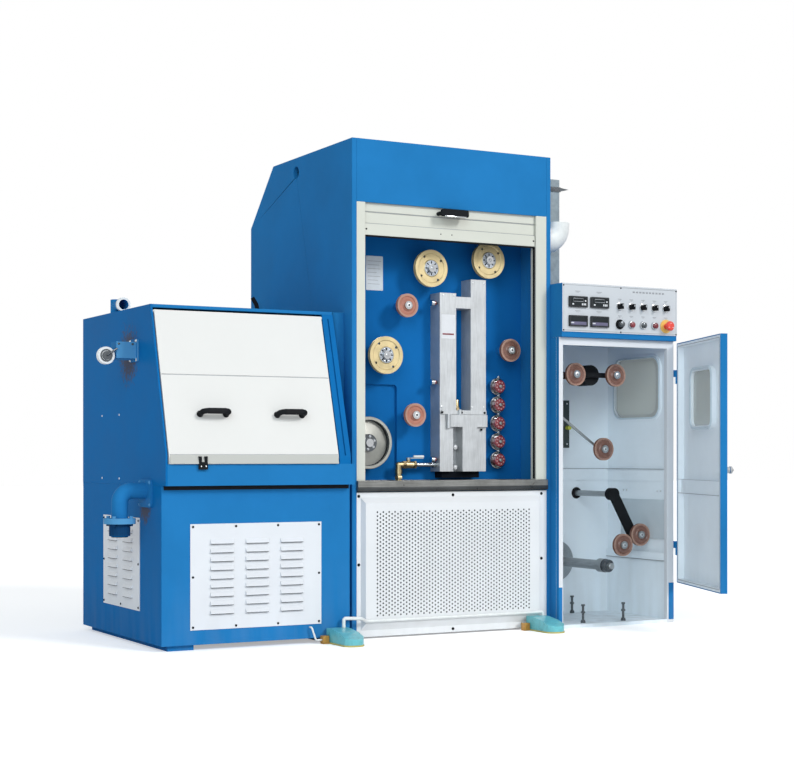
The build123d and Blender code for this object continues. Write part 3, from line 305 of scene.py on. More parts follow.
def turned_group():
    """Lathe marks: fine rings round the middle of the piece's own box, across Y."""
    group, given, out = new_group(
        "Turned Rings",
        [("Color", "Color", (0.7, 0.7, 0.7, 1)), ("Rings", "Float", 160.0), ("Contrast", "Float", 0.1),
         ("Smooth", "Float", 0.18), ("Rough", "Float", 0.4)],
        [("Color", "Color"), ("Roughness", "Float"), ("Height", "Float")])
    place = add_node(group, "TexCoord")
    shifted = add_node(group, "VectorMath", {0: place.outputs["Generated"], 1: (0.5, 0.5, 0.5)},
                       operation="SUBTRACT")
    flat = add_node(group, "VectorMath", {0: shifted.outputs[0], 1: (1.0, 0.0, 1.0)}, operation="MULTIPLY")
    away = add_node(group, "VectorMath", {0: flat.outputs[0]}, operation="LENGTH")
    turns = calculate(group, "MULTIPLY", away.outputs["Value"], given.outputs["Rings"])
    rings = add_node(group, "TexNoise", {"W": turns, "Scale": 1.0, "Detail": 2.0}, noise_dimensions="1D")
    cloud = noise(group, place.outputs["Object"], 26.0, 4.0)
    mixed = calculate(group, "ADD", rings.outputs["Fac"], cloud)
    drift = vary(group, mixed, 0.7, 1.3, given.outputs["Contrast"])
    rough = remap(group, mixed, 0.75, 1.25, given.outputs["Smooth"], given.outputs["Rough"])
    group.links.new(scale_value(group, given.outputs["Color"], drift), out.inputs["Color"])
    group.links.new(rough, out.inputs["Roughness"])
    group.links.new(rings.outputs["Fac"], out.inputs["Height"])
    return group


def moulded_group():
    """Moulded plastic, rubber or cast skin: fine grain, rubbed patches and a little dust."""
    group, given, out = new_group(
        "Moulded Skin",
        [("Color", "Color", (0.1, 0.1, 0.1, 1)), ("Grain Scale", "Float", 500.0), ("Contrast", "Float", 0.12),
         ("Smooth", "Float", 0.3), ("Rough", "Float", 0.55)],
        [("Color", "Color"), ("Roughness", "Float"), ("Height", "Float")])
    place = add_node(group, "TexCoord").outputs["Object"]
    grain = add_node(group, "TexVoronoi", {"Vector": place, "Scale": given.outputs["Grain Scale"]})
    rubbed = noise(group, place, 38.0, 5.0, 0.7)
    drift = vary(group, rubbed, 0.3, 0.7, given.outputs["Contrast"])
    rough = remap(group, rubbed, 0.3, 0.7, given.outputs["Smooth"], given.outputs["Rough"])
    group.links.new(scale_value(group, given.outputs["Color"], drift), out.inputs["Color"])
    group.links.new(rough, out.inputs["Roughness"])
    group.links.new(grain.outputs["Distance"], out.inputs["Height"])
    return group


GROUP_MAKERS = {
    "coat": coat_group, "brushed": brushed_group, "turned": turned_group, "moulded": moulded_group,
}
groups = {}
materials = {}


def finish(name, kind, colour, inputs, bump=(0.1, 0.0002), **surface):
    """A material that places one of the groups with its own values and sets the shader's plain sockets."""
    if kind not in groups:
        groups[kind] = GROUP_MAKERS[kind]()
    made = bpy.data.materials.new(name)
    made.use_nodes = True
    tree = made.node_tree
    shader = tree.nodes["Principled BSDF"]
    placed = tree.nodes.new("ShaderNodeGroup")
    placed.node_tree = groups[kind]
    placed.inputs["Color"].default_value = tuple(colour)
    for label, value in inputs.items():
        placed.inputs[label].default_value = value
    tree.links.new(placed.outputs["Color"], shader.inputs["Base Color"])
    tree.links.new(placed.outputs["Roughness"], shader.inputs["Roughness"])
    strength, distance = bump
    relief = add_node(tree, "Bump", {"Strength": strength, "Distance": distance,
                                     "Height": placed.outputs["Height"]})
    tree.links.new(relief.outputs["Normal"], shader.inputs["Normal"])
    for label, value in surface.items():
        shader.inputs[label.replace("_", " ")].default_value = value
    made.diffuse_color = tuple(colour)
    return made


def make_materials(colours):
    """All finishes: group, colour, the group's values, the relief's strength and depth, plain sockets."""
    skin, coating = (0.12, 0.0003), (0.1, 0.0003)
    rolled, grained = (0.08, 0.0002), (0.1, 0.0002)
    fine, polished, mirror = (0.05, 0.0001), (0.04, 0.0001), (0.03, 0.0001)
    # A darker copy of the blue for the drawing unit's left side: painted shade, carrying real rust stains at
    # the bracket and the drain.
    left_shade_colour = (0.005, 0.135, 0.38, 1)
    sheen = {"Specular_IOR_Level": 0.01}
    gloss = {"Coat_Weight": 0.3, "Coat_Roughness": 0.12}
    metal = {"Metallic": 1.0}
    blue = {"Drift": 0.08, "Dust": 0.07, "Smooth": 0.34, "Rough": 0.46}
    at_bracket = {"Stain Place": TO_FRAME @ Vector((UNIT_LEFT, 300, 1070)), "Stain Reach": 0.10}
    at_drain = {"Stain Place": TO_FRAME @ Vector((UNIT_LEFT, 122, 505)), "Stain Reach": 0.055}
    table = {
        "blue": ("coat", colours.blue, blue, skin, sheen),
        # Darker blue on the mounting plate: painted shade for the recess under the hood and between its
        # walls.
        "recess_painted_shade_blue": ("coat", (0.008, 0.135, 0.40, 1), blue, skin, sheen),
        "tank_blue_left_shade": ("coat", left_shade_colour, {**blue, **at_bracket}, skin, sheen),
        "base_blue": ("coat", left_shade_colour, {**blue, **at_drain}, skin, sheen),
        "white": ("coat", colours.white, {"Drift": 0.03, "Dust": 0.12}, coating, {}),
        "cover_white": ("coat", (0.72, 0.72, 0.73, 1), {"Drift": 0.04, "Dust": 0.15}, coating, {}),
        "panel_grey": ("coat", (0.55, 0.57, 0.60, 1), {"Drift": 0.03, "Dust": 0.1}, rolled, {}),
        "lid_sheet": ("coat", (0.72, 0.705, 0.68, 1), {"Drift": 0.02, "Dust": 0.05, "Smooth": 0.34,
                      "Rough": 0.46}, rolled, {"Specular_IOR_Level": 0.05}),
        # Grey for the painted shade of the lid's turned foot.
        "lid_fold_shade": ("coat", (0.46, 0.46, 0.43, 1), {"Drift": 0.04, "Dust": 0.2}, rolled,
                     {"Specular_IOR_Level": 0.1}),
        "cream": ("coat", colours.cream, {"Drift": 0.03, "Dust": 0.15}, coating, {}),
        "interior": ("coat", colours.interior, {"Drift": 0.05, "Dust": 0.25, "Smooth": 0.32, "Rough": 0.5},
                     coating, {}),
        "grey_sheet": ("coat", (0.56, 0.62, 0.66, 1), {"Drift": 0.06, "Dust": 0.1}, rolled, {}),
        # Dark blue for painted shade: the plinth under the annealer's cover, and the drain pipe under its
        # flange.
        "base_paint": ("coat", (0.008, 0.045, 0.12, 1), {"Dust": 0.1}, coating, sheen),
        # Lighter blue for painted highlights: the inlet bracket's front faces, the drain flange and its
        # bolts.
        "bracket_blue": ("coat", (0.09, 0.30, 0.55, 1), blue, coating, sheen),
        # Near-black painted shade: behind the cover's holes, under the annealing block and under the louvre
        # hoods.
        "dark_paint": ("coat", (0.008, 0.010, 0.014, 1), {"Dust": 0.1}, coating, sheen),
        "bare_steel": ("brushed", colours.steel, {"Grain": (900.0, 60.0, 30.0)}, rolled, metal),
        "block_steel": ("brushed", (0.50, 0.51, 0.52, 1), {"Grain": (420.0, 420.0, 18.0), "Contrast": 0.16,
                        "Smooth": 0.42, "Rough": 0.6}, grained, {"Metallic": 0.6}),
        "gutter_steel": ("brushed", (0.20, 0.20, 0.19, 1), {"Grain": (8.0, 300.0, 500.0), "Contrast": 0.3},
                         rolled, {"Metallic": 0.6}),
        # Near-black for the painted shade on the gutter's lower part.
        "gutter_underside_shade": ("brushed", (0.045, 0.048, 0.05, 1), {"Grain": (8.0, 300.0, 500.0), "Contrast": 0.3},
                        rolled, {"Metallic": 0.5}),
        "turned_steel": ("turned", (0.36, 0.36, 0.33, 1), {"Rings": 190.0, "Contrast": 0.16, "Smooth": 0.42,
                         "Rough": 0.6}, grained, {"Metallic": 0.8}),
        "rod_steel": ("brushed", (0.38, 0.40, 0.41, 1), {"Grain": (300.0, 20.0, 300.0), "Contrast": 0.2,
                      "Smooth": 0.3, "Rough": 0.5}, rolled, {"Metallic": 0.8}),
        "hub_steel": ("brushed", (0.36, 0.39, 0.43, 1), {"Grain": (90.0, 90.0, 90.0), "Contrast": 0.5,
                      "Smooth": 0.25, "Rough": 0.5}, grained, {"Metallic": 0.7}),
        "dark_steel": ("turned", (0.10, 0.11, 0.12, 1), {"Rings": 120.0}, grained, {"Metallic": 0.7}),
        "galvanised": ("brushed", (0.24, 0.29, 0.32, 1), {"Grain": (60.0, 60.0, 60.0), "Contrast": 0.22,
                       "Smooth": 0.45, "Rough": 0.65}, grained, {"Metallic": 0.2}),
        "brass": ("turned", colours.brass, {"Rings": 150.0, "Contrast": 0.2, "Smooth": 0.38, "Rough": 0.55},
                  (0.12, 0.0002), {"Metallic": 0.75}),
        "pipe_brass": ("brushed", (0.46, 0.36, 0.20, 1), {"Grain": (120.0, 120.0, 120.0), "Contrast": 0.3,
                       "Smooth": 0.25}, rolled, metal),
        "ceramic": ("turned", colours.ceramic, {"Rings": 70.0, "Contrast": 0.22, "Smooth": 0.3, "Rough": 0.5},
                    grained, {}),
        "brown_ceramic": ("turned", (0.20, 0.095, 0.07, 1), {"Rings": 70.0, "Contrast": 0.25}, grained, {}),
        "pale_rim": ("turned", (0.42, 0.25, 0.19, 1), {"Rings": 60.0, "Contrast": 0.1}, rolled, {}),
        "chrome": ("brushed", (0.52, 0.54, 0.56, 1), {"Grain": (60.0, 60.0, 60.0), "Contrast": 0.08,
                   "Smooth": 0.08, "Rough": 0.2}, mirror, metal),
        "post_grey": ("moulded", (0.055, 0.07, 0.07, 1), {}, grained, sheen),
        "black": ("moulded", (0.016, 0.017, 0.019, 1), {}, (0.12, 0.0002), sheen),
        "meter_black": ("moulded", (0.045, 0.047, 0.05, 1), {"Smooth": 0.2, "Rough": 0.35}, polished, sheen),
        "screen": ("moulded", (0.03, 0.034, 0.036, 1), {"Smooth": 0.12, "Rough": 0.2}, (0.02, 0.0001), sheen),
        "pale_seal": ("moulded", (0.60, 0.69, 0.75, 1), {"Smooth": 0.5, "Rough": 0.7, "Contrast": 0.06},
                      grained, {}),
        "dark_rubber": ("moulded", (0.02, 0.02, 0.022, 1), {"Smooth": 0.5, "Rough": 0.7}, (0.15, 0.0002),
                        sheen),
        "red": ("moulded", (0.20, 0.02, 0.03, 1), {"Smooth": 0.18, "Rough": 0.32, "Contrast": 0.35},
                polished, gloss),
        "knob_mark": ("moulded", (0.42, 0.22, 0.22, 1), {"Smooth": 0.18, "Rough": 0.32}, polished, gloss),
        "bright_red": ("moulded", (0.75, 0.05, 0.03, 1), {"Smooth": 0.18, "Rough": 0.32}, polished, gloss),
        "yellow": ("moulded", (0.80, 0.50, 0.12, 1), {"Smooth": 0.25, "Rough": 0.4}, polished, {}),
        "sensor_green": ("moulded", (0.45, 0.48, 0.06, 1), {}, polished, {}),
        "olive": ("moulded", (0.48, 0.40, 0.12, 1), {"Contrast": 0.25}, grained, {}),
        "orange": ("moulded", (0.50, 0.25, 0.05, 1), {"Contrast": 0.3}, rolled, {}),
        "teal": ("moulded", colours.teal, {"Grain Scale": 260.0, "Contrast": 0.16, "Smooth": 0.25,
                 "Rough": 0.4}, (0.35, 0.0006), gloss),
        "pvc": ("moulded", (0.72, 0.73, 0.72, 1), {"Grain Scale": 700.0, "Contrast": 0.08}, fine, {}),
        "porcelain": ("moulded", (0.74, 0.74, 0.74, 1), {"Contrast": 0.06, "Smooth": 0.12, "Rough": 0.25},
                      mirror, gloss),
        "card": ("moulded", (0.62, 0.66, 0.70, 1), {"Contrast": 0.05, "Smooth": 0.4}, fine, {}),
        "white_card": ("moulded", (0.68, 0.68, 0.70, 1), {"Contrast": 0.05, "Smooth": 0.4}, fine, {}),
        "grey_violet": ("moulded", (0.16, 0.15, 0.23, 1), {"Smooth": 0.2, "Rough": 0.3}, mirror, sheen),
        "mark_white": ("moulded", (0.70, 0.71, 0.73, 1), {"Contrast": 0.04}, mirror, {}),
        "mark_grey": ("moulded", (0.30, 0.31, 0.33, 1), {"Contrast": 0.04}, mirror, {}),
    }
    for name, (kind, colour, inputs, bump, surface) in table.items():
        materials[name] = finish(name, kind, colour, inputs, bump, **surface)
    materials["window"] = window_material()


def window_material():
    """A clear pane with faint smears."""
    made = bpy.data.materials.new("window")
    made.use_nodes = True
    tree = made.node_tree
    shader = tree.nodes["Principled BSDF"]
    shader.inputs["Base Color"].default_value = (0.60, 0.63, 0.60, 1)
    shader.inputs["Transmission Weight"].default_value = 0.4
    shader.inputs["IOR"].default_value = 1.46
    place = add_node(tree, "TexCoord").outputs["Object"]
    smear = remap(tree, noise(tree, place, 16.0, 5.0), 0.35, 0.7, 0.08, 0.26)
    tree.links.new(smear, shader.inputs["Roughness"])
    return made


# Mesh helpers; they work in the machine's millimetres

def box_mesh(x0, x1, y0, y1, z0, z1, edge=0.8):
    """A box with rounded edges."""
    made = bmesh.new()
    size = (x1 - x0, y1 - y0, z1 - z0)
    middle = ((x0 + x1) / 2, (y0 + y1) / 2, (z0 + z1) / 2)
    bmesh.ops.create_cube(made, size=1, matrix=Matrix.Translation(middle) @ Matrix.Diagonal((*size, 1)))
    if edge:
        bmesh.ops.bevel(made, geom=list(made.edges), offset=min(edge, *[s * 0.45 for s in size]), segments=2,
                        profile=0.5, affect="EDGES")
    return made


def turned_mesh(profile, centre, axis=(0, -1, 0), steps=32):
    """An outline of (radius, distance along the axis) points, turned about the axis through the centre."""
    made = bmesh.new()
    turn = Vector(axis).to_track_quat("Z", "Y").to_matrix().to_4x4()
    place = Matrix.Translation(centre) @ turn
    rings = []
    for radius, along in profile:
        if radius < 1e-6:
            rings.append([made.verts.new(place @ Vector((0, 0, along)))])
            continue
        rings.append([made.verts.new(place @ Vector((radius * math.cos(a), radius * math.sin(a), along)))
                      for a in (2 * math.pi * i / steps for i in range(steps))])
    for first, second in zip(rings, rings[1:]):
        for i in range(steps):
            j = (i + 1) % steps
            if len(first) == 1 and len(second) == 1:
                continue
            if len(first) == 1:
                made.faces.new((first[0], second[j], second[i]))
            elif len(second) == 1:
                made.faces.new((first[i], first[j], second[0]))
            else:
                made.faces.new((first[i], first[j], second[j], second[i]))
    return made


def swept_mesh(points, section, normal=None, closed=False):
    """A section of (side, up) points carried along a path; up follows the normal where one is given."""
    made = bmesh.new()
    points = [Vector(p) for p in points]
    count = len(points)
    up = Vector(normal) if normal else None
    rings = []
    for i, point in enumerate(points):
        before = points[i - 1] if (closed or i > 0) else point
        after = points[(i + 1) % count] if (closed or i < count - 1) else point
        along = (after - before).normalized()
        if up is None:
            up = along.orthogonal().normalized()
        side = along.cross(up).normalized()
        lift = side.cross(along).normalized() if normal is None else up
        if normal is None:
            up = lift
        into = (point - before).normalized() if (point - before).length > 1e-9 else along
        widen = 1 / max(0.5, abs(into.dot(along)))
        rings.append([made.verts.new(point + side * (s * widen) + lift * u) for s, u in section])
    pairs = list(zip(rings, rings[1:])) + ([(rings[-1], rings[0])] if closed else [])
    size = len(section)
    for first, second in pairs:
        for i in range(size):
            j = (i + 1) % size
            made.faces.new((first[i], first[j], second[j], second[i]))
    if not closed:
        made.faces.new(rings[0])
        made.faces.new(list(reversed(rings[-1])))
    return made


def bar_section(half, rise):
    """A flat bar's section: half its width to each side, and its height."""
    return [(-half, 0), (half, 0), (half, rise), (-half, rise)]


def circle(x, z, radius, count, first=0):
    """Evenly spaced points on an upright circle, as (x, z) pairs, from the first angle in degrees."""
    turns = [math.radians(360 / count * k + first) for k in range(count)]
    return [(x + radius * math.cos(turn), z + radius * math.sin(turn)) for turn in turns]


def round_section(radius, steps=12):
    """A round bar's section."""
    return circle(0, 0, radius, steps)


def rounded_loop(a0, a1, b0, b1, radius, steps=6):
    """Points round a rectangle with rounded corners, as (a, b) pairs."""
    made = []
    for ca, cb, start in ((a1 - radius, b1 - radius, 0), (a0 + radius, b1 - radius, 90),
                          (a0 + radius, b0 + radius, 180), (a1 - radius, b0 + radius, 270)):
        for i in range(steps + 1):
            angle = math.radians(start + 90 * i / steps)
            made.append((ca + radius * math.cos(angle), cb + radius * math.sin(angle)))
    return made


def plate_mesh(loop, low, high, place):
    """A flat plate: place turns each (a, b, height) into a point."""
    made = bmesh.new()
    bottom = [made.verts.new(place(a, b, low)) for a, b in loop]
    top = [made.verts.new(place(a, b, high)) for a, b in loop]
    made.faces.new(bottom)
    made.faces.new(list(reversed(top)))
    count = len(loop)
    for i in range(count):
        j = (i + 1) % count
        made.faces.new((bottom[i], bottom[j], top[j], top[i]))
    return made


def screw_mesh(centre, axis, radius=4.0, kind="pan"):
    """A pan head with a socket, a hexagon head on its washer, or a rivet."""
    r = radius
    if kind == "hex":
        head = turned_mesh([(0, r * 0.75), (r * 0.8, r * 0.75), (r, r * 0.6), (r, r * 0.15), (0, r * 0.15)],
                           centre, axis, 6)
        washer = turned_mesh([(0, r * 0.2), (r * 1.25, r * 0.2), (r * 1.35, r * 0.12), (r * 1.35, 0), (0, 0)],
                             centre, axis, 16)
        return [head, washer]
    if kind == "rivet":
        return [turned_mesh([(0, r * 0.5), (r * 0.5, r * 0.42), (r * 0.85, r * 0.22), (r, 0), (0, 0)],
                            centre, axis, 12)]
    return [turned_mesh([(0, r * 0.25), (r * 0.42, r * 0.25), (r * 0.45, r * 0.62), (r * 0.8, r * 0.5),
                         (r, r * 0.15), (r, 0), (0, 0)], centre, axis, 12)]


class Piece:
    """Gathers meshes with their materials, then makes one object of them that rides on a body."""

    def __init__(self, name, *finishes):
        self.name = name
        self.finishes = finishes
        self.whole = bmesh.new()

    def add(self, meshes, finish_name=None):
        """Takes in one mesh or a list of them, with the finish named or the piece's first one."""
        index = self.finishes.index(finish_name) if finish_name else 0
        for part in meshes if isinstance(meshes, list) else [meshes]:
            for face in part.faces:
                face.material_index = index
            scratch = bpy.data.meshes.new("scratch")
            part.to_mesh(scratch)
            part.free()
            self.whole.from_mesh(scratch)
            bpy.data.meshes.remove(scratch)

    def screws(self, places, axis, radius, kind="pan", finish_name=None):
        """The same screw at each of the places."""
        for place in places:
            self.add(screw_mesh(place, axis, radius, kind), finish_name)

    def cap(self, x, z, y, bore, finish_name):
        """A wheel's shaft cap with a hexagon socket of the given radius."""
        self.add(turned_mesh([(bore, 2.6), (7, 2.6), (9, 1.6), (9.4, 0), (bore, 0)], (x, y, z)), finish_name)
        plug = bore + 0.1
        self.add(turned_mesh([(0, 1.4), (plug, 1.4), (plug, 0), (0, 0)], (x, y, z), steps=6), "black")

    def make(self, body="root", place=TO_FRAME, sharp=32):
        """One object of all that was added, on its body, with a material slot for each finish."""
        self.whole.transform(place)
        bmesh.ops.recalc_face_normals(self.whole, faces=self.whole.faces)
        limit = math.radians(sharp)
        for edge in self.whole.edges:
            if len(edge.link_faces) != 2 or edge.calc_face_angle(0) > limit:
                edge.smooth = False
        for face in self.whole.faces:
            face.smooth = True
        mesh = bpy.data.meshes.new(self.name)
        self.whole.to_mesh(mesh)
        self.whole.free()
        for finish_name in self.finishes:
            mesh.materials.append(materials[finish_name])
        made = bpy.data.objects.new(self.name, mesh)
        bpy.context.scene.collection.objects.link(made)
        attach(made, body)
        return made


def dress(node, *finishes, pick=None, edge=None):
    """Gives a CAD node its materials, by face where pick says which, and rounds its sharp edges."""
    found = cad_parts[node]
    found.data.materials.clear()
    for finish_name in finishes:
        found.data.materials.append(materials[finish_name])
    if pick:
        back = TO_FRAME.inverted()
        for face in found.data.polygons:
            middle = back @ face.center
            face.material_index = finishes.index(pick(middle, face.normal))
    else:
        for face in found.data.polygons:
            face.material_index = 0
    if edge:
        weld = found.modifiers.new("Weld", "WELD")
        weld.merge_threshold = 0.00002
        bevel = found.modifiers.new("Edge", "BEVEL")
        bevel.width = edge
        bevel.segments = 2
        bevel.limit_method = "ANGLE"
        bevel.angle_limit = math.radians(40)
        shade = found.modifiers.new("Shade", "WEIGHTED_NORMAL")
        shade.keep_sharp = False


# Operators

class MACHINE_OT_stage(bpy.types.Operator):
    """Sets up the floor, the soft studio light and the camera"""
    bl_idname = "wire_machine.stage"
    bl_label = "Studio Stage"

    def execute(self, context):
        scene = context.scene
        floor_mesh = bmesh.new()
        bmesh.ops.create_grid(floor_mesh, x_segments=1, y_segments=1, size=30)
        mesh = bpy.data.meshes.new("floor")
        floor_mesh.to_mesh(mesh)
        floor_mesh.free()
        floor = bpy.data.objects.new("floor", mesh)
        scene.collection.objects.link(floor)
        mesh.materials.append(self.floor_material())
        self.world(scene)
        self.sun(scene, "key", (0.40, -0.86, 0.54), 1.5, 15, (1.0, 1.0, 1.0))
        self.sun(scene, "fill", (-0.55, -0.75, 0.36), 1.15, 40, (0.78, 0.93, 1.0))
        camera_data = bpy.data.cameras.new("camera")
        camera_data.sensor_width = SENSOR_WIDTH
        camera_data.lens = SENSOR_WIDTH * FOCAL_PIXELS / PHOTO_WIDTH
        camera_data.shift_y = HORIZON_PIXELS / PHOTO_WIDTH
        camera_data.clip_end = 100
        camera = bpy.data.objects.new("camera", camera_data)
        camera.location = TO_FRAME @ EYE
        camera.rotation_euler = (math.pi / 2, 0, math.radians(EYE_HEADING))
        scene.collection.objects.link(camera)
        scene.camera = camera
        scene.view_settings.view_transform = "Standard"
        return {"FINISHED"}

    def sun(self, scene, name, toward, strength, spread, tint):
        """A broad light that shines from one direction, for an even level over the whole machine."""
        data = bpy.data.lights.new(name, "SUN")
        data.energy = strength
        data.color = tint
        data.angle = math.radians(spread)
        lamp = bpy.data.objects.new(name, data)
        lamp.location = Vector(toward) * 6
        lamp.rotation_euler = Vector(toward).to_track_quat("Z", "Y").to_euler()
        scene.collection.objects.link(lamp)

    def floor_material(self):
        """Pale floor that shows white to the camera and keeps the shadow."""
        made = bpy.data.materials.new("floor")
        made.use_nodes = True
        tree = made.node_tree
        shader = tree.nodes["Principled BSDF"]
        place = add_node(tree, "TexCoord").outputs["Object"]
        tone = remap(tree, noise(tree, place, 1.2, 3.0), 0.3, 0.7, 0.92, 0.95)
        shade = add_node(tree, "CombineColor", {"Red": tone, "Green": tone, "Blue": tone})
        tree.links.new(shade.outputs["Color"], shader.inputs["Base Color"])
        shader.inputs["Roughness"].default_value = 0.85
        shader.inputs["Emission Color"].default_value = (1, 1, 1, 1)
        path = add_node(tree, "LightPath")
        glow = calculate(tree, "MULTIPLY", path.outputs["Is Camera Ray"], 0.40)
        tree.links.new(glow, shader.inputs["Emission Strength"])
        return made

    def world(self, scene):
        """Soft light from all round, white to the camera and in mirrors and panes."""
        world = bpy.data.worlds.new("studio")
        scene.world = world
        world.use_nodes = True
        tree = world.node_tree
        light = tree.nodes["Background"]
        light.inputs["Color"].default_value = (0.96, 0.98, 1.0, 1)
        light.inputs["Strength"].default_value = 0.45
        seen = add_node(tree, "Background", {"Color": (1, 1, 1, 1), "Strength": 1.0})
        path = add_node(tree, "LightPath")
        bent = calculate(tree, "MAXIMUM", path.outputs["Is Glossy Ray"], path.outputs["Is Transmission Ray"])
        white = calculate(tree, "MAXIMUM", path.outputs["Is Camera Ray"], bent)
        mix = add_node(tree, "MixShader", {0: white, 1: light.outputs[0], 2: seen.outputs[0]})
        tree.links.new(mix.outputs[0], tree.nodes["World Output"].inputs["Surface"])


class MACHINE_OT_cabinets(bpy.types.Operator):
    """Finishes the cabinets' sheets, frames, gutters, pipes and ducts"""
    bl_idname = "wire_machine.cabinets"
    bl_label = "Cabinets"

    def execute(self, context):
        edge = context.scene.wire_machine_sizes.edge_round
        for node in ("annealer_side_walls", "annealer_hood", "annealer_rear_cover", "drawing_rear_housing",
                     "tank_trough", "shutter_casing"):
            dress(node, "blue", edge=edge)
        # The side plates and the base's left faces take the darker blue as painted shade.
        dress("drawing_side_plates", "tank_blue_left_shade", edge=edge)
        dress("drawing_base", "base_blue", "blue",
              pick=lambda p, n: "base_blue" if n.x < -0.9 else "blue", edge=edge)
        # The plinth under the cover is dark blue as painted shade.
        dress("annealer_base", "base_paint")
        # The mounting plate takes the darker blue as painted shade in the recess.
        dress("mounting_plate", "recess_painted_shade_blue", edge=edge)
        dress("sill_gutter", "gutter_steel", edge=edge)
        # A near-black strip on the gutter's lower part: painted shade under its rounded front.
        lower = Piece("gutter_lip_shade", "gutter_underside_shade")
        lower.add(box_mesh(20.5, 879.5, -13, -11.6, 560.5, 577, 0.6))
        lower.make()
        dress("shutter_frame", "cream", edge=edge)
        dress("louvre_panels", "white")
        dress("exhaust_elbow", "pvc")
        dress("trunking", "galvanised", "dark_steel",
              pick=lambda p, n: "dark_steel" if 1780 < p.z < 1816 and p.y < 125.5 else "galvanised")
        dress("drain_pipe", "blue", "bracket_blue", "base_paint", pick=self.drain_finish, edge=0.0006)
        dress("inlet_bracket", "blue", "bracket_blue", "dark_steel", pick=self.bracket_finish, edge=0.0008)
        dress("inlet_wheel", "porcelain", "dark_steel", pick=self.inlet_finish)
        dress("roof_vent", "blue", "pvc", pick=lambda p, n: "pvc" if p.y < 441 else "blue")
        dress("takeup_side_walls", "interior", "blue", "pale_seal", pick=self.wall_finish, edge=0.001)
        dress("takeup_rear_housing", "interior", "blue",
              pick=lambda p, n: "interior" if p.y < WALL_Y + 1 and n.y < 0.5 else "blue", edge=0.001)
        dress("takeup_front_frame", "white", "blue",
              pick=lambda p, n: "blue" if abs(n.x) > 0.9 and not 901 < p.x < 1470 else "white", edge=0.001)
        dress("takeup_floor", "interior", "dark_steel",
              pick=lambda p, n: "dark_steel" if p.z > 15.5 else "interior")
        dress("control_box", "blue", "panel_grey",
              pick=lambda p, n: "panel_grey" if p.y < -80.5 and n.y < -0.5 else "blue", edge=edge)
        return {"FINISHED"}

    def drain_finish(self, point, normal):
        """The flange takes a lighter blue as painted highlight, and the pipe below it a dark blue as painted
        shade.
        """
        if point.z < 451:
            return "base_paint"
        return "bracket_blue" if 451 < point.z < 482 else "blue"

    def bracket_finish(self, point, normal):
        """The arm's end is dark, and the front faces take a lighter blue as painted highlight."""
        if point.x < -861:
            return "dark_steel"
        return "bracket_blue" if normal.y < -0.5 else "blue"

    def inlet_finish(self, point, normal):
        """White rings with dark ones between them."""
        away = math.hypot(point.x - INLET_WHEEL[0], point.z - INLET_WHEEL[2])
        return "dark_steel" if away < 13 or 19 < away < 23 else "porcelain"

    def wall_finish(self, point, normal):
        """Blue outside, pale inside, with the window's rim in the seal's colour."""
        if abs(normal.x) > 0.9 and not 901 < point.x < TAKEUP_RIGHT - 1:
            return "blue"
        if 1440 < point.x < 1449.8 and 838 < point.z < 1126:
            return "pale_seal"
        return "interior"


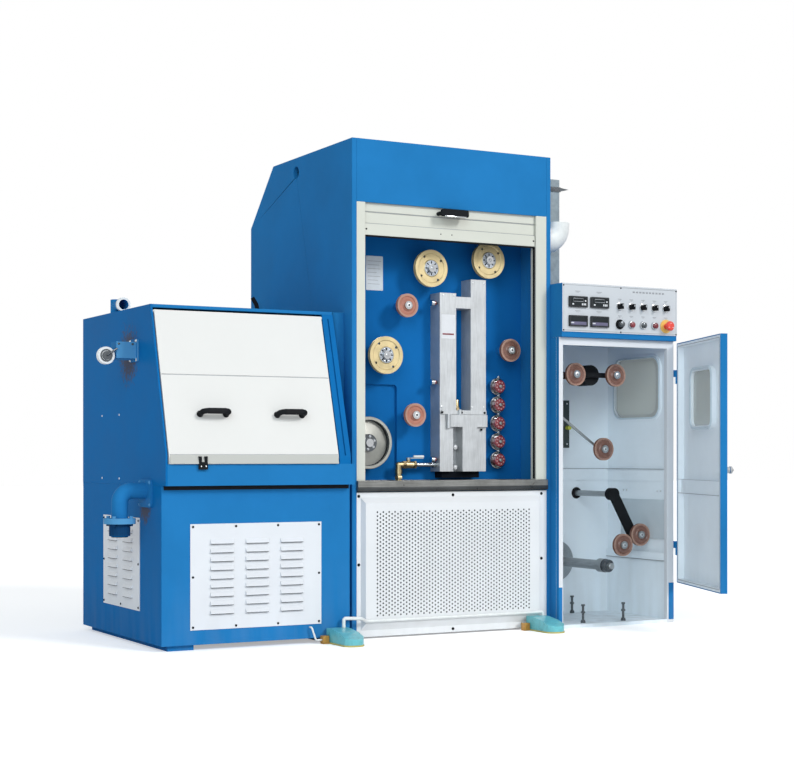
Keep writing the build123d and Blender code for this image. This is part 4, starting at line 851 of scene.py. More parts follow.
class MACHINE_OT_perforated_cover(bpy.types.Operator):
    """Makes the annealer's lower cover with its field of round holes"""
    bl_idname = "wire_machine.perforated_cover"
    bl_label = "Perforated Cover"

    def execute(self, context):
        sizes = context.scene.wire_machine_sizes
        points, faces = [], []

        def face(*corners):
            start = len(points)
            points.extend(corners)
            faces.append(tuple(range(start, start + len(corners))))

        def ring(outer, inner):
            for i in range(4):
                j = (i + 1) % 4
                face(outer[i], outer[j], inner[j], inner[i])

        def corners(x0, x1, z0, z1, y):
            return [(x0, y, z0), (x1, y, z0), (x1, y, z1), (x0, y, z1)]

        flange = (20, 880, 7, 556)
        foot = (37, 848, 32.5, 536.5)
        rim = (50, 835, 60, 515)
        skin = 2
        columns, rows = sizes.cover_columns, 27
        across, up = sizes.column_pitch, sizes.hole_pitch
        middle_x, middle_z = 442.5, 285
        left = middle_x - columns * across / 2
        low = middle_z - rows * up / 2
        right, high = left + columns * across, low + rows * up
        front = -18
        ring(corners(*flange, 0), corners(*foot, 0))
        ring(corners(*foot, 0), corners(*rim, front))
        ring(corners(*rim, front), corners(left, right, low, high, front))
        ring(corners(*flange, skin), corners(*flange, 0))
        ring(corners(*rim, front + skin), corners(*foot, skin))
        ring(corners(*foot, skin), corners(*flange, skin))
        ring(corners(left, right, low, high, front + skin), corners(*rim, front + skin))
        steps = 16
        for column in range(columns):
            x = left + (column + 0.5) * across
            odd = column % 2
            if odd:
                for z0 in (low, high - up / 2):
                    face(*corners(x - across / 2, x + across / 2, z0, z0 + up / 2, front))
                    face(*corners(x - across / 2, x + across / 2, z0, z0 + up / 2, front + skin))
            for row in range(rows - odd):
                z = low + (row + 0.5 + 0.5 * odd) * up
                self.hole_cell(face, x, z, across / 2, up / 2, sizes.hole_radius, front, front + skin, steps)
        mesh = bpy.data.meshes.new("perforated_cover")
        mesh.from_pydata([TO_FRAME @ Vector(p) for p in points], [], faces)
        built = bmesh.new()
        built.from_mesh(mesh)
        bmesh.ops.remove_doubles(built, verts=built.verts, dist=0.00002)
        bmesh.ops.recalc_face_normals(built, faces=built.faces)
        built.to_mesh(mesh)
        built.free()
        mesh.materials.append(materials["cover_white"])
        cover = bpy.data.objects.new("perforated_cover", mesh)
        context.scene.collection.objects.link(cover)
        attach(cover, "root")
        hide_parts("perforated_panel")
        # A near-black sheet and bars behind the holes: painted shade inside the cover.
        backing = Piece("cover_hole_shade", "dark_paint")
        backing.add(box_mesh(60, 825, -9, -8, 70, 505, 0.3))
        for z in (72, 285, 503):
            backing.add(box_mesh(60, 825, -14, -8.5, z - 1.5, z + 1.5, 0.3))
        backing.make()
        return {"FINISHED"}

    def hole_cell(self, face, x, z, half_x, half_z, radius, front, back, steps):
        """One cell of the field: a rectangle with a round hole, both skins and the hole's wall."""
        edge = [(1, 0), (1, 1), (0, 1), (-1, 1), (-1, 0), (-1, -1), (0, -1), (1, -1)]
        round_points = circle(x, z, radius, steps)
        share = steps // len(edge)
        for y in (front, back):
            for i, (ex, ez) in enumerate(edge):
                nx, nz = edge[(i + 1) % len(edge)]
                arc = [round_points[(share * i + k) % steps] for k in range(share, -1, -1)]
                face((x + ex * half_x, y, z + ez * half_z), (x + nx * half_x, y, z + nz * half_z),
                     *[(px, y, pz) for px, pz in arc])
        for i in range(steps):
            (ax, az), (bx, bz) = round_points[i], round_points[(i + 1) % steps]
            face((ax, front, az), (bx, front, bz), (bx, back, bz), (ax, back, az))


class MACHINE_OT_shutter(bpy.types.Operator):
    """Finishes the roller shutter, its slats, brush seal and black pull"""
    bl_idname = "wire_machine.shutter"
    bl_label = "Roller Shutter"

    def execute(self, context):
        dress("roller_shutter", "cream", "black", pick=self.slat_finish, edge=0.0008)
        seal = Piece("shutter_seal", "dark_rubber")
        seal.add(box_mesh(59, 828, 10, 22, 1531.5, 1537.2, 1.5))
        seal.make()
        track = Piece("slat_gaps", "mark_grey", "dark_rubber")
        for z in (1581.5, 1625, 1670):
            track.add(box_mesh(59, 828, 11.7, 13.2, z - 1.1, z + 1.1, 0.3))
        for x in (830.2, 56.8):
            track.add(box_mesh(x - 0.7, x + 0.7, 8, 24, 603, 1535, 0.2), "dark_rubber")
        track.make()
        lip = Piece("handle_lip", "chrome")
        lip.add(box_mesh(385, 481, -39.5, -30, 1622, 1626.5, 1.2))
        lip.make()
        stop = Piece("shutter_stops", "black")
        stop.screws([(x, 7, 1559) for x in (65, 822)], FRONT, 3.5)
        stop.screws([(x, 7, 1559) for x in (392, 442)], FRONT, 2.6, "rivet")
        stop.make()
        return {"FINISHED"}

    def slat_finish(self, point, normal):
        """The pull that stands before the slats is black."""
        pull_side = point.y < 11.9 and 1624 < point.z < 1652 and abs(normal.y) < 0.5
        return "black" if point.y < 4 or pull_side else "cream"


class MACHINE_OT_wheels(bpy.types.Operator):
    """Finishes the sheaves, the capstan and the guide wheels with caps, bolts and hubs"""
    bl_idname = "wire_machine.wheels"
    bl_label = "Wheels"

    def execute(self, context):
        for i, (x, z) in enumerate(SHEAVES):
            dress(f"brass_sheave_{i + 1}", "brass", "hub_steel", "black", pick=self.sheave_finish(x, z))
            hub = Piece(f"sheave_hub_{i + 1}", "chrome")
            front = WIRE_Y - 9
            nut = [(0, 9.6), (5, 9.6), (7, 8.4), (7, 7.7), (0, 7.7)]
            hub.add(turned_mesh(nut, (x, front, z), steps=6))
            hub.screws([(a, front, b) for a, b in circle(x, z, 25, 8, 22.5)], FRONT, 2.4)
            hub.make(f"sheave_{i + 1}_body")
        x, z = CAPSTAN
        dress("steel_capstan", "turned_steel", "dark_steel", pick=self.capstan_finish(x, z))
        bolts = Piece("capstan_bolts", "chrome")
        bolts.screws([(a, WIRE_Y, b) for a, b in circle(x, z, 25, 6, 20)], FRONT, 4.2, "hex")
        bolts.make("capstan_body")
        for i, (x, z) in enumerate(GUIDES):
            coating = "brown_ceramic" if i == 2 else "ceramic"
            self.coat_wheel(f"guide_wheel_{i + 1}", coating, x, z, WIRE_Y - 8, 46)
        for node, (x, z) in TAKEUP_WHEELS.items():
            self.coat_wheel(node, "brown_ceramic", x, z, TAKEUP_WIRE_Y - 7.5, 47)
        dress("shaft_bosses", "blue", "chrome", "black", pick=self.stud_finish)
        caps = Piece("guide_wheel_caps", "porcelain", "black")
        for x, z in GUIDES:
            caps.cap(x, z, WIRE_Y - 15.9, 4, "porcelain")
        caps.make()
        return {"FINISHED"}

    def coat_wheel(self, node, face, x, z, front, radius):
        """A coated wheel whose outer lip is worn pale."""
        def choose(point, normal):
            away = math.hypot(point.x - x, point.z - z)
            return "pale_rim" if away > radius - 4 and normal.y < 0.5 and point.y < front + 5 else face
        dress(node, face, "pale_rim", pick=choose)

    def sheave_finish(self, x, z):
        """Brass round a steel hub whose deep slots are painted black as their shade."""
        def choose(point, normal):
            away = math.hypot(point.x - x, point.z - z)
            if away < 31.5:
                # Black at the slots' depth is painted shade.
                return "black" if WIRE_Y - 8.5 < point.y < WIRE_Y - 5 else "hub_steel"
            return "brass"
        return choose

    def capstan_finish(self, x, z):
        """Turned steel with a dark hub, and the groove inside the rim painted dark as its shade."""
        def choose(point, normal):
            away = math.hypot(point.x - x, point.z - z)
            # The groove's walls and floor are dark as painted shade.
            if away < 35 or 86 < away < 90.5 and point.y < WIRE_Y + 30 and (normal.y > -0.7 or away > 87.5):
                return "dark_steel"
            return "turned_steel"
        return choose

    def stud_finish(self, point, normal):
        """Bright shaft ends on painted bosses."""
        return "chrome" if point.y < 130 else "blue"


class MACHINE_OT_annealing_block(bpy.types.Operator):
    """Finishes the annealing block with its clamps, hinges, screws, label plate and fittings"""
    bl_idname = "wire_machine.annealing_block"
    bl_label = "Annealing Block"

    def execute(self, context):
        dress("annealing_block", "block_steel", "chrome", "dark_steel", "dark_paint", pick=self.block_finish,
              edge=0.0012)
        fittings = Piece("block_fittings", "chrome", "black", "pipe_brass", "bare_steel", "white_card", "red")
        front = WIRE_Y
        clamp_screws = ((458, 868), (548, 868), (655, 868), (640, 800))
        fittings.screws([(x, front - 5.1, z) for x, z in clamp_screws], FRONT, 5, finish_name="black")
        side_screws = [(BLOCK_RIGHT, front + 14, z) for z in (640, 742, 812, 905, 1000)]
        fittings.screws(side_screws, RIGHT, 7, "hex", "chrome")
        fittings.screws([(529.5, front + 11.9, z) for z in (650, 730)], FRONT, 4, "hex", "bare_steel")
        union = (540, front + 22, 878)
        fittings.add(turned_mesh([(0, 42), (8, 42), (9, 40), (9, 0), (0, 0)], union, UP), "pipe_brass")
        fittings.add(turned_mesh([(0, 10), (12, 10), (12, 0), (0, 0)], union, UP, 6), "pipe_brass")
        plate = rounded_loop(456, 520, 1162, 1258, 4)
        fittings.add(plate_mesh(plate, front - 0.7, front, lambda a, b, h: (a, h, b)), "white_card")
        fittings.add(box_mesh(462, 514, front - 1.3, front - 0.6, 1177, 1183, 0.2), "red")
        face_screws = ((466, 1335), (514, 1335), (603, 1390), (655, 1390), (600, 890), (655, 890), (458, 890))
        fittings.screws([(x, front, z) for x, z in face_screws], FRONT, 4, finish_name="bare_steel")
        for z in (681, 988, 1303):
            fittings.add(turned_mesh([(0, 6), (8, 6), (9.5, 4), (9.5, -7), (8, -8), (0, -8)],
                                     (436, front + 20, z), RIGHT), "red")
        fittings.make()
        dress("contact_terminals", "chrome", "red", pick=self.terminal_finish)
        knobs = Piece("terminal_knobs", "chrome", "red", "knob_mark")
        x, y = TERMINAL_X, TERMINAL_FACE
        rim = [(31, 1.4), (34, 1.4), (35, 0.4), (35, 0), (31, 0)]
        for z in TERMINAL_ZS:
            knobs.add(turned_mesh([(0, 6), (22, 6), (25, 4), (25, 0), (0, 0)], (x, y, z), steps=24), "red")
            knobs.add(turned_mesh([(0, 13), (6, 13), (7.5, 11), (7.5, 6), (0, 6)], (x, y, z)), "chrome")
            for a, b in circle(x, z, 16.5, 8, 15):
                knobs.add(turned_mesh([(0, 8), (3, 8), (4, 6), (0, 6)], (a, y, b), steps=8), "knob_mark")
            knobs.add(turned_mesh(rim, (x, y + 15.5, z)), "chrome")
            knobs.add(screw_mesh((x + 3, y + 12, z + 37.5), FRONT, 4.2, "hex"), "chrome")
            knobs.add(screw_mesh((BLOCK_RIGHT + 0.2, y + 2, z + 2), RIGHT, 4), "chrome")
        knobs.make()
        dress("cooling_pipe", "pipe_brass", "chrome",
              pick=lambda p, n: "chrome" if p.x > 352 else "pipe_brass")
        dress("valve_lever", "rod_steel")
        valve = Piece("valve_nuts", "pipe_brass")
        for x in (300, 304, 350):
            valve.add(turned_mesh([(0, 9), (15.5, 9), (16.5, 7), (16.5, 1), (15.5, 0), (0, 0)], (x, 150, 660),
                                  RIGHT, 6))
        valve.add(turned_mesh([(0, 12), (15, 12), (16, 10), (16, 0), (0, 0)], (282, 150, 604), UP, 6))
        valve.make()
        grip = Piece("valve_grip", "pvc")
        grip.add(swept_mesh([(x, 150, 692.5) for x in (350, 372, 395)], round_section(5)))
        grip.make("valve_lever_body")
        card = Piece("name_card", "card", "mark_grey", "bare_steel")
        card.add(plate_mesh(rounded_loop(158, 233, 1347, 1482, 3), PLATE_Y - 1.2, PLATE_Y,
                            lambda a, b, h: (a, h, b)), "card")
        for k, span in enumerate((60, 52, 58, 40, 56, 46, 54)):
            z = 1462 - 15 * k
            card.add(box_mesh(165, 165 + span, PLATE_Y - 1.6, PLATE_Y - 1.1, z - 0.8, z + 0.8, 0.1),
                     "mark_grey")
        card.screws([(x, PLATE_Y - 1.2, z) for x in (163, 228) for z in (1352, 1477)], FRONT, 2.4, "rivet",
                    "bare_steel")
        card.make()
        return {"FINISHED"}

    def terminal_finish(self, point, normal):
        """Chrome rings round red knobs."""
        z = min(TERMINAL_ZS, key=lambda level: abs(point.z - level))
        return "red" if point.y < 162.5 and math.hypot(point.x - TERMINAL_X, point.z - z) < 24 else "chrome"

    def block_finish(self, point, normal):
        """Ground steel, with the side knobs' stems in their own finishes and the foot near-black as painted
        shade under the block.
        """
        if point.x < 449 and point.y < 148:
            return "chrome" if point.x < 434.5 else "dark_steel"
        # The foot under the block is near-black as painted shade.
        if point.z < 632:
            return "dark_paint"
        return "block_steel"


class MACHINE_OT_drawing_unit(bpy.types.Operator):
    """Finishes the drawing tank's lid, handles, latch, cones and small fittings"""
    bl_idname = "wire_machine.drawing_unit"
    bl_label = "Drawing Unit"

    def execute(self, context):
        dress("tank_lid", "lid_sheet", edge=0.0012)
        dress("lid_handles", "black", edge=0.0005)
        dress("drawing_cones", "turned_steel", edge=0.0006)
        grips = Piece("lid_handle_grips", "dark_rubber")
        for x in HANDLE_XS:
            for side in (-HANDLE_FOOT, HANDLE_FOOT):
                grips.add(turned_mesh([(10.1, 3), (11.4, 3), (12.4, 1.5), (12.4, 0), (10.1, 0)],
                                      self.on_slope(x + side, HANDLE_UP, 0.1), SLOPE_OUT))
            bar = [self.on_slope(x + side, HANDLE_UP, HANDLE_REACH) for side in (-34, 34)]
            grips.add(swept_mesh(bar, round_section(10.7, 20)))
        grips.make("tank_lid_body")
        # A grey band at the lid's foot: painted shade of the turned lower flange; the crease and the seam are
        # grey lines.
        fold = Piece("lid_foot_fold_shade", "lid_fold_shade", "mark_grey")
        for low, high, out, finish_name in ((-31, 3, 0.6, "lid_fold_shade"), (3, 4.5, 0.9, "mark_grey"),
                                            (299.8, 302.2, 0.3, "mark_grey")):
            strip = [(LID_LEFT, low), (LID_RIGHT, low), (LID_RIGHT, high), (LID_LEFT, high)]
            fold.add(plate_mesh(strip, 0.05, out, self.on_slope), finish_name)
        fold.make("tank_lid_body")
        # A dark strip in the gap under the lip: painted shadow.
        gap = Piece("lip_gap_painted_shadow", "dark_rubber")
        gap.add(box_mesh(-770, -38, -49, -45.1, 574, 588.6, 1))
        gap.make()
        face = Piece("inlet_wheel_face", "porcelain", "dark_steel")
        face.add(turned_mesh([(23, 0.2), (24, 1.6), (31, 1.6), (32, 0.2)], INLET_WHEEL), "porcelain")
        face.add(turned_mesh([(17.5, 0.2), (18, 1.0), (22.5, 1.0), (23, 0.2)], INLET_WHEEL), "dark_steel")
        face.add(turned_mesh([(8, 1.2), (17.5, 1.2), (18, 0.1), (8, 0.1)], INLET_WHEEL), "porcelain")
        face.make("inlet_wheel_body")
        arm = Piece("inlet_arm", "dark_steel")
        arm.add(swept_mesh([(-897, 192, 1060), (-880, 190, 1072), (-858, 196, 1086)], round_section(3.4)))
        arm.screws([(x, 202, 1104) for x in (-850, -797)], FRONT, 4.5)
        arm.make()
        bolts = Piece("drawing_bolts", "bare_steel", "black", "mark_white", "bracket_blue")
        bolts.screws([(x, -100.2, 658) for x in (-649, -631)], FRONT, 3, finish_name="bare_steel")
        plate = [(x, z) for x in (-660, -494, -328, -162) for z in (83, 442)] + [(-660, 262), (-162, 262)]
        bolts.screws([(x, LOUVRE_FACE, z) for x, z in plate], FRONT, 4.5, finish_name="black")
        plate = [(y, z) for y in (186, 379, 572) for z in (140, 299, 458) if (y, z) != (379, 299)]
        bolts.screws([(UNIT_LEFT - 3.1, y, z) for y, z in plate], LEFT, 4.5, finish_name="black")
        plugs = [(UNIT_LEFT - 0.1, y, z) for y in (404, 604) for z in (610, 850)]
        bolts.screws(plugs, LEFT, 4, finish_name="mark_white")
        bracket = [(UNIT_LEFT - 6.1, y, z) for y in (200, 264) for z in (1048, 1116)]
        bolts.screws(bracket, LEFT, 5, "hex", "bare_steel")
        # The drain flange's bolts take the lighter blue of the painted highlight.
        drain = [(UNIT_LEFT - 8.1, y, z) for y in (53, 157) for z in (520, 600)]
        bolts.screws(drain, LEFT, 5, "hex", "bracket_blue")
        bolts.make()
        # The hose end takes the darker left-side blue as painted shade.
        hose = Piece("drain_hose_end", "base_blue")
        hose.add(turned_mesh([(36.2, 0), (38, 2), (38, 40), (36.2, 42)], (-880, 105, 408), UP))
        hose.make()
        strap = Piece("roof_strap", "dark_rubber")
        strap.add(swept_mesh([(-22, 806, 1243), (-30, 806, 1290), (-40, 806, 1330), (-58, 806, 1358)],
                             [(-9, -1.5), (9, -1.5), (9, 1.5), (-9, 1.5)], BACK))
        strap.make()
        # Near-black strips under each louvre hood: painted shade that stands for the open slits.
        slits = Piece("louvre_slit_shade", "dark_paint")
        for x, z in self.louvre_places(**FRONT_LOUVRES):
            slits.add(box_mesh(x - LOUVRE_HALF, x + LOUVRE_HALF, -56.4, -48.2, z - 1.6, z, 0.2))
        for y, z in self.louvre_places(**SIDE_LOUVRES):
            slits.add(box_mesh(-789.4, -781.2, y - LOUVRE_HALF, y + LOUVRE_HALF, z - 1.6, z, 0.2))
        slits.make()
        return {"FINISHED"}

    def on_slope(self, across, up, out):
        """A point of the lid: across along X, up the slope from its foot, and out from its sheet."""
        return SLOPE_LOW + Vector((across, 0, 0)) + SLOPE_UP * up + SLOPE_OUT * out

    def louvre_places(self, middle, pitch, columns, rows):
        """Where each louvre's slit has its top edge, as (across, height) pairs."""
        left = middle[0] - (columns - 1) / 2 * pitch[0]
        low = middle[1] - (rows - 1) / 2 * pitch[1] - 8.1
        return [(left + i * pitch[0], low + k * pitch[1]) for k in range(rows) for i in range(columns)]


class MACHINE_OT_controls(bpy.types.Operator):
    """Finishes the control panel with its meters, knobs, buttons and scale marks"""
    bl_idname = "wire_machine.controls"
    bl_label = "Control Panel"

    def execute(self, context):
        dress("panel_meters", "meter_black", edge=0.0006)
        dress("panel_controls", "black", "chrome", "red", "bright_red", "yellow", "mark_white",
              pick=self.control_finish)
        screens = Piece("meter_faces", "screen", "mark_white", "grey_violet", "mark_grey")
        high, low = METER_ZS
        y, face = METER_FLOOR, PANEL_FACE
        for x in METER_XS:
            screens.add(box_mesh(x - 38, x + 38, y - 0.6, y + 0.1, high - 16, high + 16, 0.3), "screen")
            self.outline(screens, x - 26, x + 22, high + 13, high + 1, y - 0.9, 0.6, 0.4)
            for a in (18, 26, 33):
                screens.add(box_mesh(x + a - 2.6, x + a + 2.6, y - 1.2, y - 0.5, high - 14, high - 6, 0.4),
                            "mark_white")
            screens.add(box_mesh(x + 30, x + 36, y - 1.2, y - 0.5, high + 1, high + 7, 0.4), "mark_white")
            screens.add(box_mesh(x - 31, x - 23, y - 1.2, y - 0.5, high - 13, high - 7, 0.4), "mark_white")
            screens.add(box_mesh(x - 38, x + 38, y - 0.6, y + 0.1, low - 2, low + 16, 0.3), "screen")
            screens.add(box_mesh(x - 38, x + 38, y - 0.8, y + 0.1, low - 16, low - 3, 0.3), "grey_violet")
            screens.add(box_mesh(x - 37, x - 23, y - 1.3, y - 0.7, low - 10, low - 6, 0.3), "mark_white")
        screens.make()
        marks = Piece("panel_marks", "mark_grey")
        rows = [(x, z, 13) for x in METER_XS for z in (1357, 1278)]
        rows += [(x, z, 9) for x in KNOB_XS for z in (1334, 1266)]
        for x, z, half in rows:
            for reach, bottom, top in ((half, z - 1.1, z + 1.1), (half * 0.6, z - 5, z - 3.6)):
                marks.add(box_mesh(x - reach, x + reach, face - 0.5, face, bottom, top, 0.1))
        for k in range(10):
            left = 1247 + 16.5 * k
            marks.add(box_mesh(left, left + 11, face - 0.5, face, 1362, 1369, 0.2))
        marks.make()
        marks = Piece("scale_marks", "mark_grey", "black")
        self.outline(marks, 907, 1468, TAKEUP_TOP + 27, BOX_TOP - 7, face - 0.05, 0.7, 0.25)
        corners = [(x, face, z) for x in (906, 1187, 1469) for z in (TAKEUP_TOP + 27, BOX_TOP - 9)]
        marks.screws(corners, FRONT, 3.4, finish_name="black")
        self.ticks(marks, KNOB_XS[0], KNOB_LOW, 27, 225, -45, 11)
        for x in KNOB_XS[1:]:
            self.ticks(marks, x, KNOB_HIGH, 19, 120, 60, 3)
        marks.make()
        collars = Piece("control_collars", "chrome", "mark_white", "dark_steel", "red")
        knob_ring = [(15.1, 3), (16.8, 2.4), (17.2, 0), (15.1, 0)]
        button_ring = [(13.2, 6.8), (15.4, 6.4), (17.4, 2), (17.4, 0), (13.2, 0)]
        button = [(0, 15.5), (9, 15), (11.4, 13.4), (11.6, 6), (0, 6)]
        for i, x in enumerate(KNOB_XS):
            collars.add(turned_mesh(knob_ring, (x, face, KNOB_HIGH)))
            collars.add(box_mesh(x - 1.1, x + 1.1, face - 24.6, face - 23.9, KNOB_HIGH, KNOB_HIGH + 9, 0.2),
                        "mark_white")
            if 0 < i < 4:
                collars.add(turned_mesh(button_ring, (x, face, KNOB_LOW)))
                collars.add(turned_mesh(button, (x, face, KNOB_LOW)), "dark_steel" if i == 2 else "red")
        for x, z in circle(KNOB_XS[4], KNOB_LOW, 11, 3, 90):
            collars.add(box_mesh(x - 3.4, x + 3.4, face - 37.2, face - 36, z - 0.9, z + 0.9, 0.2),
                        "mark_white")
        x = KNOB_XS[0]
        dial = [(0, 21), (10, 21), (11.8, 20), (12.6, 8), (12.2, 8), (0, 8)]
        collars.add(turned_mesh(dial, (x, face, KNOB_LOW), steps=24), "dark_steel")
        collars.add(box_mesh(x - 0.9, x + 0.9, face - 21.5, face - 20.8, KNOB_LOW + 1, KNOB_LOW + 11, 0.2),
                    "mark_white")
        collars.make()
        return {"FINISHED"}

    def outline(self, piece, x0, x1, z0, z1, y, half, rise):
        """A thin raised line round an upright rectangle."""
        loop = [(x0, y, z0), (x1, y, z0), (x1, y, z1), (x0, y, z1)]
        piece.add(swept_mesh(loop, bar_section(half, rise), FRONT, closed=True), "mark_grey")

    def ticks(self, marks, x, z, radius, start, end, count):
        """Generic scale marks round a knob."""
        for k in range(count):
            turn = math.radians(start + (end - start) * k / (count - 1))
            points = [(x + r * math.cos(turn), PANEL_FACE - 0.05, z + r * math.sin(turn))
                      for r in (radius, radius + 4)]
            marks.add(swept_mesh(points, bar_section(0.5, 0.25), FRONT), "mark_grey")

    def control_finish(self, point, normal):
        """Black knobs on chrome collars over red buttons, and the emergency stop on its yellow disc."""
        column = min(range(5), key=lambda i: abs(point.x - KNOB_XS[i]))
        if point.z > (KNOB_HIGH + KNOB_LOW) / 2:
            if point.y > PANEL_FACE - 4.2:
                return "chrome"
            pointer = column == 0 and point.x > KNOB_XS[0] + 2 and point.y < PANEL_FACE - 14
            return "mark_white" if pointer else "black"
        if column == 4:
            return "yellow" if point.y > PANEL_FACE - 3.2 else "bright_red"
        if column == 0:
            return "black"
        return "chrome" if point.y > PANEL_FACE - 6.2 else "red"


class MACHINE_OT_door(bpy.types.Operator):
    """Finishes the open door: its two coats, window seal, lock, gasket and hinges"""
    bl_idname = "wire_machine.door"
    bl_label = "Door"

    def execute(self, context):
        dress("door_panel", "interior", "blue", pick=self.door_finish, edge=0.001)
        dress("door_window", "window")
        dress("side_window", "window")
        dress("door_handle", "interior", "chrome", pick=self.handle_finish)
        dress("door_hinges", "blue")
        width = context.scene.wire_machine_sizes.seal_width
        seal = Piece("door_window_seal", "pale_seal")
        left, right = DOOR_RIGHT - 446, DOOR_RIGHT - 165
        half = width / 2
        loop = rounded_loop(left + half, right - half, 802 + half, 1050 - half, 38)
        section = [(-half - 2, 0), (half + 1, 0), (half + 1, 2.5), (half - 3, 5), (2 - half, 5),
                   (-half - 2, 2)]
        seal.add(swept_mesh([(a, -71.2, b) for a, b in loop], section, BACK, closed=True))
        seal.add(swept_mesh([(a, DOOR_FRONT + 0.1, b) for a, b in loop], section, FRONT, closed=True))
        seal.make("door_body", place=TO_DOOR)
        gasket = Piece("door_border", "blue", "mark_grey")
        for inset, half, finish_name in ((2.2, 1.8, "blue"), (14, 1.2, "mark_grey")):
            loop = rounded_loop(DOOR_LEFT + inset, DOOR_RIGHT - inset, DOOR_LOW + inset,
                                DOOR_HIGH - inset, 2, 2)
            section = [(-half, 0), (half, 0), (half - 0.5, 1.2), (0.5 - half, 1.2)]
            points = [(a, DOOR_BACK - 0.1, b) for a, b in loop]
            gasket.add(swept_mesh(points, section, BACK, closed=True), finish_name)
        for z, thick in ((543, 2.4), (599, 1.4)):
            gasket.add(box_mesh(DOOR_LEFT + 16, DOOR_RIGHT - 16, DOOR_BACK - 0.4, DOOR_BACK + 0.6,
                                z - thick, z, 0.2), "mark_grey")
        gasket.make("door_body", place=TO_DOOR)
        lock = Piece("door_lock", "chrome", "black")
        x, z = DOOR_LOCK
        lock.add(turned_mesh([(0, 5), (16, 5), (18, 3), (18, 0), (0, 0)], (x, DOOR_FRONT, z)), "chrome")
        lock.add(turned_mesh([(0, 28), (12, 28), (14.4, 26), (14.4, 19), (12.6, 17), (12.6, 5), (0, 5)],
                             (x, DOOR_FRONT, z)), "chrome")
        lock.add(screw_mesh((x, DOOR_FRONT - 28, z), FRONT, 6, "hex"), "black")
        lock.make("door_body", place=TO_DOOR)
        return {"FINISHED"}

    def door_finish(self, point, normal):
        """Blue outside and round the edges, pale inside."""
        local = self.closed(point)
        facing = Matrix.Rotation(-DOOR_TURN, 3, "Z") @ Vector(normal)
        outer = local.y < DOOR_FRONT + 0.5 and facing.y < -0.5
        side = abs(facing.x) > 0.7 and not DOOR_LEFT + 1 < local.x < DOOR_RIGHT - 1
        level = abs(facing.z) > 0.7 and not DOOR_LOW + 1 < local.z < DOOR_HIGH - 1
        return "blue" if outer or side or level else "interior"

    def handle_finish(self, point, normal):
        """Chrome outside the door, and painted inside."""
        return "chrome" if self.closed(point).y < DOOR_FRONT else "interior"

    def closed(self, point):
        """Where a point of the open door lies when the door is closed."""
        return Matrix.Rotation(-DOOR_TURN, 3, "Z") @ (Vector(point) - HINGE) + HINGE


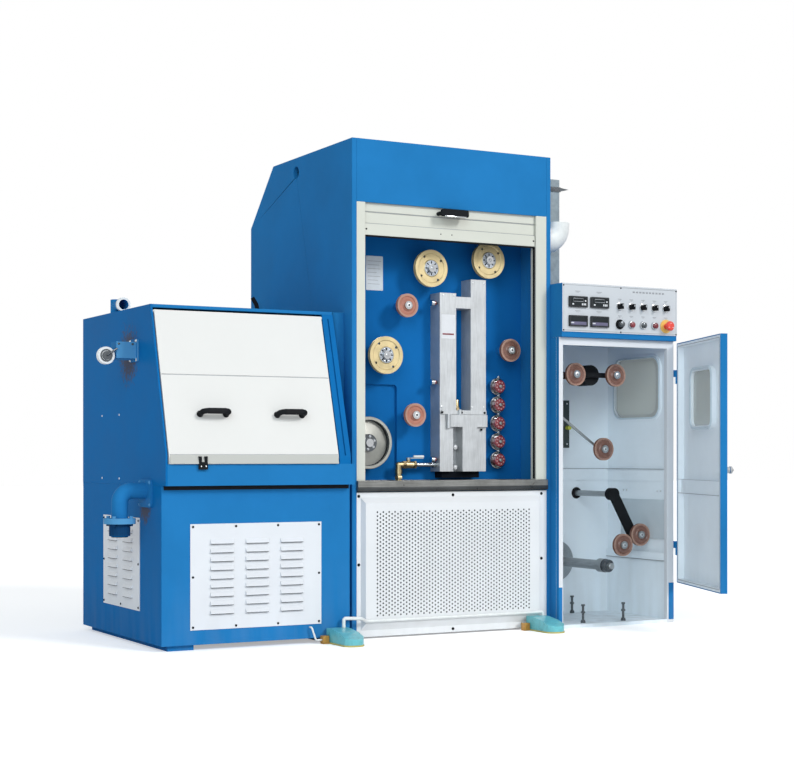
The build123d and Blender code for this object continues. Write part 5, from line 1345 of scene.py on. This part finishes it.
class MACHINE_OT_takeup(bpy.types.Operator):
    """Finishes the fittings inside the take-up cabinet"""
    bl_idname = "wire_machine.takeup"
    bl_label = "Take-up Fittings"

    def execute(self, context):
        dress("wheel_bracket", "black", "chrome", pick=lambda p, n: "chrome" if p.y < 96.8 else "black")
        dress("dancer_post", "chrome", "post_grey", "sensor_green", pick=self.post_finish, edge=0.0008)
        dress("dancer_arm", "rod_steel", edge=0.0005)
        dress("traverse_arm", "black", "rod_steel", pick=self.traverse_finish, edge=0.0008)
        dress("spool_spindle", "rod_steel", "dark_steel", pick=self.spindle_finish)
        capped = {
            "top_wheel_caps": ("root", ("top_wheel_left", "top_wheel_right")),
            "dancer_wheel_cap": ("dancer_body", ("dancer_wheel",)),
            "traverse_wheel_caps": ("traverse_body", ("traverse_wheel_1", "traverse_wheel_2")),
        }
        for name, (body, wheels) in capped.items():
            caps = Piece(name, "bare_steel", "black")
            for wheel in wheels:
                caps.cap(*TAKEUP_WHEELS[wheel], TAKEUP_WIRE_Y - 15.4, 3, "bare_steel")
            caps.make(body)
        seal = Piece("side_window_seal", "pale_seal", "mark_grey")
        half = context.scene.wire_machine_sizes.seal_width / 2
        loop = rounded_loop(11 - half, 324 + half, 860 - half, 1109 + half, 49)
        section = [(-half, 0), (half, 0), (half - 1, 2), (-half + 1, 2)]
        seal.add(swept_mesh([(RIGHT_WALL, a, b) for a, b in loop], section, LEFT, closed=True), "pale_seal")
        for out in (-1, half * 2 + 1):
            line = rounded_loop(11 + out, 324 - out, 860 + out, 1109 - out, 49)
            points = [(RIGHT_WALL - 0.2, a, b) for a, b in line]
            seal.add(swept_mesh(points, bar_section(0.9, 1), LEFT, closed=True), "mark_grey")
        seal.make()
        sheet = Piece("wall_sheet", "grey_sheet", "interior", "mark_grey")
        sheet.add(box_mesh(1448.6, RIGHT_WALL, -35, 273, 347, 511, 0.4), "grey_sheet")
        sheet.add(box_mesh(1446, RIGHT_WALL, -38, 376, 257, 289, 0.8), "interior")
        # A grey line under the ledge: painted shade beneath it.
        sheet.add(box_mesh(1445.6, RIGHT_WALL, -38, 376, 254, 257, 0.2), "mark_grey")
        seam = (WALL_SEAM_Z, WALL_SEAM_Z + 2.5, 0.2)
        sheet.add(box_mesh(1445.2, RIGHT_WALL, -38, 376, *seam), "mark_grey")
        sheet.add(box_mesh(905, 1445, 372.3, 373, *seam), "mark_grey")
        sheet.make()
        shoes = Piece("post_shoes", "blue")
        shoes.add(box_mesh(1449, 1475.4, -61, -41, 14, 167, 0.6))
        shoes.add(box_mesh(899.6, 916, -61, -41, 14, 167, 0.6))
        shoes.make()
        collar = Piece("rod_collar", "dark_rubber")
        rod_x, rod_z = TRAVERSE_ROD
        collar.add(turned_mesh([(13, 6), (19, 6), (24, 3), (25, 0), (13, 0)], (rod_x, WALL_Y, rod_z)))
        collar.make()
        nuts = Piece("anchor_nuts", "dark_steel")
        for z, r in ((20, 9.5), (56, 8.5), (84, 8.5)):
            nut = [(0, 7), (r - 1, 7), (r, 5.5), (r, 1.5), (r - 1, 0), (0, 0)]
            for x in (1045, 1246):
                for y in (-20, 350):
                    nuts.add(turned_mesh(nut, (x, y, z), UP, 6))
        nuts.make()
        screws = Piece("takeup_screws", "bare_steel")
        screws.screws([(RIGHT_WALL, y, 548) for y in (-6, 17, 232, 255)], LEFT, 4)
        screws.screws([(x, 296.9, z) for x in (1112, 1183) for z in (745, 918)], FRONT, 4)
        screws.screws([(x, 360.6, z) for x, z in circle(*SPINDLE, 62, 4, 45)], FRONT, 5, "hex")
        screws.make()
        return {"FINISHED"}

    def post_finish(self, point, normal):
        """A bright pivot beside the dark sensor plate with its yellow-green eye."""
        if point.x < 1000:
            return "chrome"
        return "sensor_green" if point.y < 296.5 else "post_grey"

    def traverse_finish(self, point, normal):
        """Bright rod and pins on a black arm."""
        if point.y < 96.5 or point.y > 131.5:
            return "rod_steel"
        return "black"

    def spindle_finish(self, point, normal):
        """A dark nut on the steel spindle."""
        return "dark_steel" if -26 < point.y < 1 else "rod_steel"


class MACHINE_OT_foot_switches(bpy.types.Operator):
    """Finishes the foot switches and the conduit that joins them"""
    bl_idname = "wire_machine.foot_switches"
    bl_label = "Foot Switches"

    def execute(self, context):
        dress("foot_switches", "teal", "olive", "orange", pick=self.switch_finish, edge=0.0012)
        dress("foot_switch_conduit", "pvc")
        return {"FINISHED"}

    def switch_finish(self, point, normal):
        """A teal cover on an olive base, with an orange gland."""
        for x in SWITCH_XS:
            if x - 70 < point.x < x - 42.6:
                return "orange"
        return "olive" if point.z < 6.1 else "teal"


class MACHINE_OT_fasteners(bpy.types.Operator):
    """Adds the screws of the annealer's cover"""
    bl_idname = "wire_machine.fasteners"
    bl_label = "Fasteners"

    def execute(self, context):
        screws = Piece("cover_screws", "black")
        places = ((28.6, 542), (442.5, 543), (855.2, 544), (28.6, 282), (855.2, 283), (28.6, 20), (442.5, 20),
                  (855.2, 20))
        screws.screws([(x, 0, z) for x, z in places], FRONT, 6)
        screws.make()
        return {"FINISHED"}


class MACHINE_PT_panel(bpy.types.Panel):
    """Lists the machine's pieces in the sidebar"""
    bl_idname = "MACHINE_PT_panel"
    bl_label = "Wire Machine"
    bl_space_type = "VIEW_3D"
    bl_region_type = "UI"
    bl_category = "Wire Machine"

    def draw(self, context):
        layout = self.layout
        for group in (context.scene.wire_machine_colours, context.scene.wire_machine_sizes):
            for name in group.__annotations__:
                layout.prop(group, name)
        for operator in PIECE_OPERATORS:
            layout.operator(operator.bl_idname)


PIECE_OPERATORS = (
    MACHINE_OT_stage, MACHINE_OT_cabinets, MACHINE_OT_perforated_cover, MACHINE_OT_shutter,
    MACHINE_OT_wheels, MACHINE_OT_annealing_block, MACHINE_OT_drawing_unit, MACHINE_OT_controls,
    MACHINE_OT_door, MACHINE_OT_takeup, MACHINE_OT_foot_switches, MACHINE_OT_fasteners,
)
CLASSES = (MachineColours, MachineSizes, *PIECE_OPERATORS, MACHINE_PT_panel)


def register():
    for cls in CLASSES:
        bpy.utils.register_class(cls)
    bpy.types.Scene.wire_machine_colours = bpy.props.PointerProperty(type=MachineColours)
    bpy.types.Scene.wire_machine_sizes = bpy.props.PointerProperty(type=MachineSizes)


def unregister():
    del bpy.types.Scene.wire_machine_sizes
    del bpy.types.Scene.wire_machine_colours
    for cls in reversed(CLASSES):
        bpy.utils.unregister_class(cls)


def main():
    register()
    make_materials(bpy.context.scene.wire_machine_colours)
    bpy.ops.wire_machine.stage()
    bpy.ops.wire_machine.cabinets()
    bpy.ops.wire_machine.perforated_cover()
    bpy.ops.wire_machine.shutter()
    bpy.ops.wire_machine.wheels()
    bpy.ops.wire_machine.annealing_block()
    bpy.ops.wire_machine.drawing_unit()
    bpy.ops.wire_machine.controls()
    bpy.ops.wire_machine.door()
    bpy.ops.wire_machine.takeup()
    bpy.ops.wire_machine.foot_switches()
    bpy.ops.wire_machine.fasteners()


if __name__ == "__main__":
    main()
